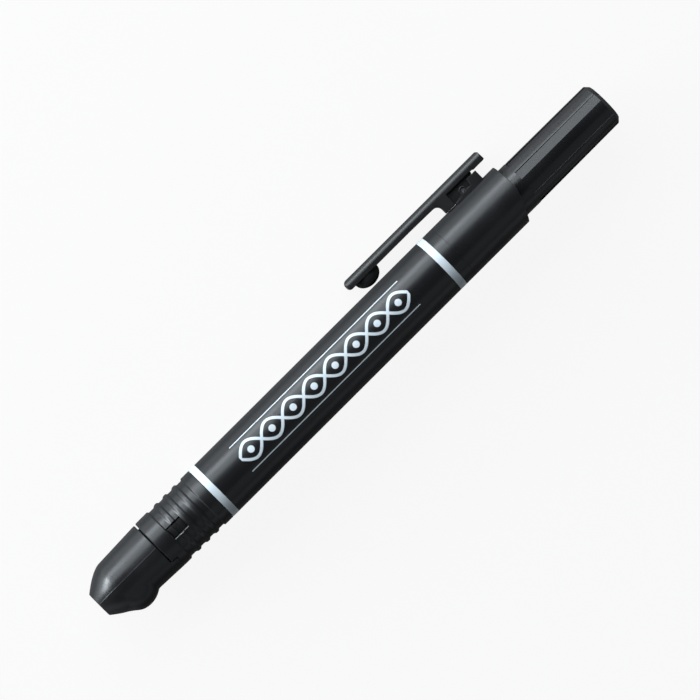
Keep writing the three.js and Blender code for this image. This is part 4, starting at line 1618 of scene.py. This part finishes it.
@dataclass
class Springs:
    """The wound springs: one on each side of the carrier, and one round the clip pin."""

    wire: float = 0.5
    front: Point = (11.46, 16.66)
    front_radius: float = 3.3
    front_turns: float = 4.0
    back: Point = (19.76, 48.86)
    back_radius: float = 4.694
    back_turns: float = 7.0
    knock: float = 12.0
    carry: float = 2.824
    clip_wire: float = 0.24
    clip_radius: float = 0.82
    clip_half: float = 0.63
    clip_turns: int = 3
    clip_leg: float = 6.6
    turn_steps: Point = (36, 32)

    def coil(self, ends: Point, radius: float, turns: float) -> list[tuple[float, float, float]]:
        """Path of a compression spring.

        Args:
            ends: Where the winding starts and ends along the pen.
            radius: Radius of the wire's middle line.
            turns: Number of turns.

        Returns:
            Points of the path in the pen frame.
        """
        steps = int(turns * self.turn_steps[0])
        stations = spaced(ends[0] + self.wire / 2, ends[1] - self.wire / 2, steps)
        circle = arc((0.0, 0.0), radius, spaced(0, 360 * turns, steps))
        return [(x, side, up) for x, (up, side) in zip(stations, circle)]

    def build(self, bench: Bench) -> None:
        """Builds the two long springs and sets each on its body.

        Args:
            bench: Where they are dressed and set on their bodies.
        """
        travel = self.knock - self.carry
        for name, ends, radius, turns, body, shut in (
            ("front_spring", self.front, self.front_radius, self.front_turns, Body.HOUSING, self.carry),
            ("return_spring", self.back, self.back_radius, self.back_turns, Body.CARRIER, travel),
        ):
            blank = Blank()
            blank.wire(self.coil(ends, radius, turns), self.wire)
            piece = blank.finish(f"{name}_visual", sharp=60)
            bench.fit(piece, body, Slot.STEEL, name)
            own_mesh(piece)

    def clip_spring(self) -> Object:
        """Builds the torsion spring round the clip pin.

        Returns:
            The piece.
        """
        half, steps = self.clip_half, self.turn_steps[1] * self.clip_turns
        across = spaced(-half, half, steps)
        circle = arc(HINGE, self.clip_radius, spaced(180, 180 + 360 * self.clip_turns, steps))
        leg_end = (HINGE[0] - self.clip_radius, -half, self.clip_leg)
        blank = Blank()
        blank.wire([leg_end] + [(x, y, z) for y, (x, z) in zip(across, circle)], self.clip_wire)
        return blank.finish("clip_spring_visual", sharp=60)


@dataclass
class InnerWorks:
    """The white mechanism, seals and ink parts, which keep their CAD shapes."""

    slots: dict[Slot, tuple[str, ...]] = field(default_factory=lambda: {
        Slot.WHITE: ("shutter_chamber", "shutter_lid", "shutter_carrier", "nib_holder", "reservoir_tube",
                     "reservoir_plug", "cam_rotor"),
        Slot.RUBBER: ("shutter_gasket", "neck_seal"),
        Slot.FIBRE: ("nib", "ink_core"),
    })

    def dress(self, bench: Bench) -> None:
        """Gives every kept node its finish.

        Args:
            bench: Where they are dressed.
        """
        for slot, nodes in self.slots.items():
            for node in nodes:
                bench.keep(node, slot)


# Studio


@dataclass(frozen=True)
class Lamp:
    """Soft box that faces the pen: its place and size in metres, and its power in watts."""

    name: str
    place: tuple[float, float, float]
    size: Point
    power: float
    daylight: Colour = (0.86, 0.94, 1.0)

    def build(self) -> None:
        """Adds the lamp to the scene."""
        data = bpy.data.lights.new(self.name, "AREA")
        data.shape = "RECTANGLE"
        data.size, data.size_y = self.size
        data.energy = self.power
        data.color = self.daylight
        lamp = bpy.data.objects.new(self.name, data)
        lamp.location = self.place
        lamp.rotation_euler = (-Vector(self.place)).to_track_quat("-Z", "Y").to_euler()
        bpy.context.scene.collection.objects.link(lamp)


@dataclass
class Studio:
    """Plain pale floor, soft lamps and the camera of the photograph."""

    distance: float = 1.19
    lens: float = 301.0
    sensor: float = 36.0
    sight: float = 20.0
    tilt: float = 44.9
    swing: float = 2.4
    shift_right: float = -0.00047
    shift_up: float = 0.00057
    floor_half: float = 6.0
    paper: tuple[Colour, Colour] = ((0.93, 0.89, 0.86), (0.96, 0.92, 0.89))
    paper_roughness: float = 0.9
    paper_specular: float = 0.1
    backdrop: float = 0.9
    mirrored: float = 0.62
    dusk: Point = (0.02, 0.14)
    horizon: Colour = (0.5, 0.5, 0.51)
    overhead: Colour = (0.045, 0.046, 0.05)
    lamps: tuple[Lamp, ...] = (
        Lamp("low_box", (0.0, 0.68, 0.115), (1.3, 0.22), 6.6),
        Lamp("high_box", (0.0, 0.60, 0.36), (1.3, 0.24), 3.6),
        Lamp("nose_box", (-0.53, 0.46, 0.12), (0.4, 0.22), 4.6),
        Lamp("back_fill", (0.0, -0.5, 0.82), (1.3, 0.6), 0.62),
        Lamp("chin_fill", (0.0, -0.7, 0.22), (1.3, 0.2), 0.5),
    )

    def camera(self) -> None:
        """Places the camera so that the pen lies across the frame as photographed."""
        swing, tilt = math.radians(self.swing), math.radians(self.tilt)
        along, out, clipward = (PEN.direction(axis) for axis in ((1, 0, 0), (0, -1, 0), (0, 0, 1)))
        back = out * math.cos(swing) - along * math.sin(swing)
        level = along * math.cos(swing) + out * math.sin(swing)
        right = level * math.cos(tilt) - clipward * math.sin(tilt)
        up = level * math.sin(tilt) + clipward * math.cos(tilt)
        middle = PEN.matrix() @ Vector((PEN.half_length, 0.0, 0.0))
        target = middle + right * self.shift_right + up * self.shift_up
        data = bpy.data.cameras.new("camera")
        data.lens = self.lens
        data.sensor_width = self.sensor
        data.clip_end = self.sight
        camera = bpy.data.objects.new("camera", data)
        basis = Matrix((right, up, back)).transposed().to_4x4()
        camera.matrix_world = Matrix.Translation(target + back * self.distance) @ basis
        bpy.context.scene.collection.objects.link(camera)
        bpy.context.scene.camera = camera

    def floor(self) -> None:
        """Adds the floor, which isn't part of the pen and which the camera sees as plain white."""
        half = self.floor_half
        corners = [(-half, -half, 0), (half, -half, 0), (half, half, 0), (-half, half, 0)]
        mesh = bpy.data.meshes.new("floor")
        mesh.from_pydata(corners, [], [(0, 1, 2, 3)])
        floor = bpy.data.objects.new("floor", mesh)
        bpy.context.scene.collection.objects.link(floor)
        material, graph, shader = new_material("floor_paper")
        graph.feed(shader.inputs["Base Color"], graph.mix(graph.noise(graph.place(), 3.0), *self.paper))
        shader.inputs["Roughness"].default_value = self.paper_roughness
        shader.inputs["Specular IOR Level"].default_value = self.paper_specular
        rays = graph.add("LightPath").outputs
        mirrored = graph.math("MULTIPLY", rays["Is Glossy Ray"], self.mirrored)
        seen = graph.math("MAXIMUM", rays["Is Camera Ray"], mirrored)
        seen = graph.math("MAXIMUM", seen, rays["Is Transmission Ray"])
        white = graph.add("Emission", {"Color": (1.0, 1.0, 1.0, 1.0), "Strength": 1.0})
        feeds = {0: seen * self.backdrop, 1: shader.outputs[0], 2: white.outputs[0]}
        blend = graph.add("MixShader", feeds)
        output = next(node for node in material.node_tree.nodes if node.type == "OUTPUT_MATERIAL")
        graph.feed(output.inputs["Surface"], blend.outputs[0])
        mesh.materials.append(material)

    def world(self) -> None:
        """Sets a plain surrounding, pale at the horizon and darker overhead."""
        world = bpy.data.worlds.new("studio")
        world.use_nodes = True
        world.node_tree.nodes.clear()
        graph = Graph(world.node_tree)
        height = graph.add("SeparateXYZ", {0: graph.add("TexCoord").outputs["Generated"]}).outputs[2]
        colour = graph.mix(graph.span(height, *self.dusk, smooth=True), self.horizon, self.overhead)
        sky = graph.add("Background", {"Color": colour, "Strength": 1.0})
        graph.add("OutputWorld", {"Surface": sky.outputs[0]})
        bpy.context.scene.world = world

    def build(self) -> None:
        """Sets up the camera, the floor, the surroundings and the lamps."""
        self.camera()
        self.floor()
        self.world()
        for lamp in self.lamps:
            lamp.build()
        bpy.context.scene.view_settings.view_transform = "Standard"


def main() -> None:
    """Builds the pen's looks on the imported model."""
    logging.basicConfig(level=logging.INFO, format="%(name)s: %(message)s")
    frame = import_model()
    Studio().build()
    bench = Bench(frame, Finishes())
    bench.fit(Nose().build(), Body.HOUSING, Slot.HOUSING, "nose_shell")
    bench.fit(Grip().build(), Body.HOUSING, Slot.HOUSING, "grip_sleeve")
    bench.fit(Barrel().build(), Body.HOUSING, Slot.BARREL, "barrel_tube")
    collar = Collar()
    bench.fit(collar.build(), Body.HOUSING, Slot.HOUSING, "rear_collar")
    bench.fit(collar.pin(), Body.HOUSING, Slot.STEEL, "clip_pin")
    bench.fit(Clip().build(), Body.CLIP, Slot.CLIP, "clip")
    bench.fit(Button().build(), Body.KNOCK, Slot.BUTTON, "knock_button")
    springs = Springs()
    springs.build(bench)
    bench.fit(springs.clip_spring(), Body.HOUSING, Slot.STEEL, "clip_spring")
    InnerWorks().dress(bench)


if __name__ == "__main__":
    main()
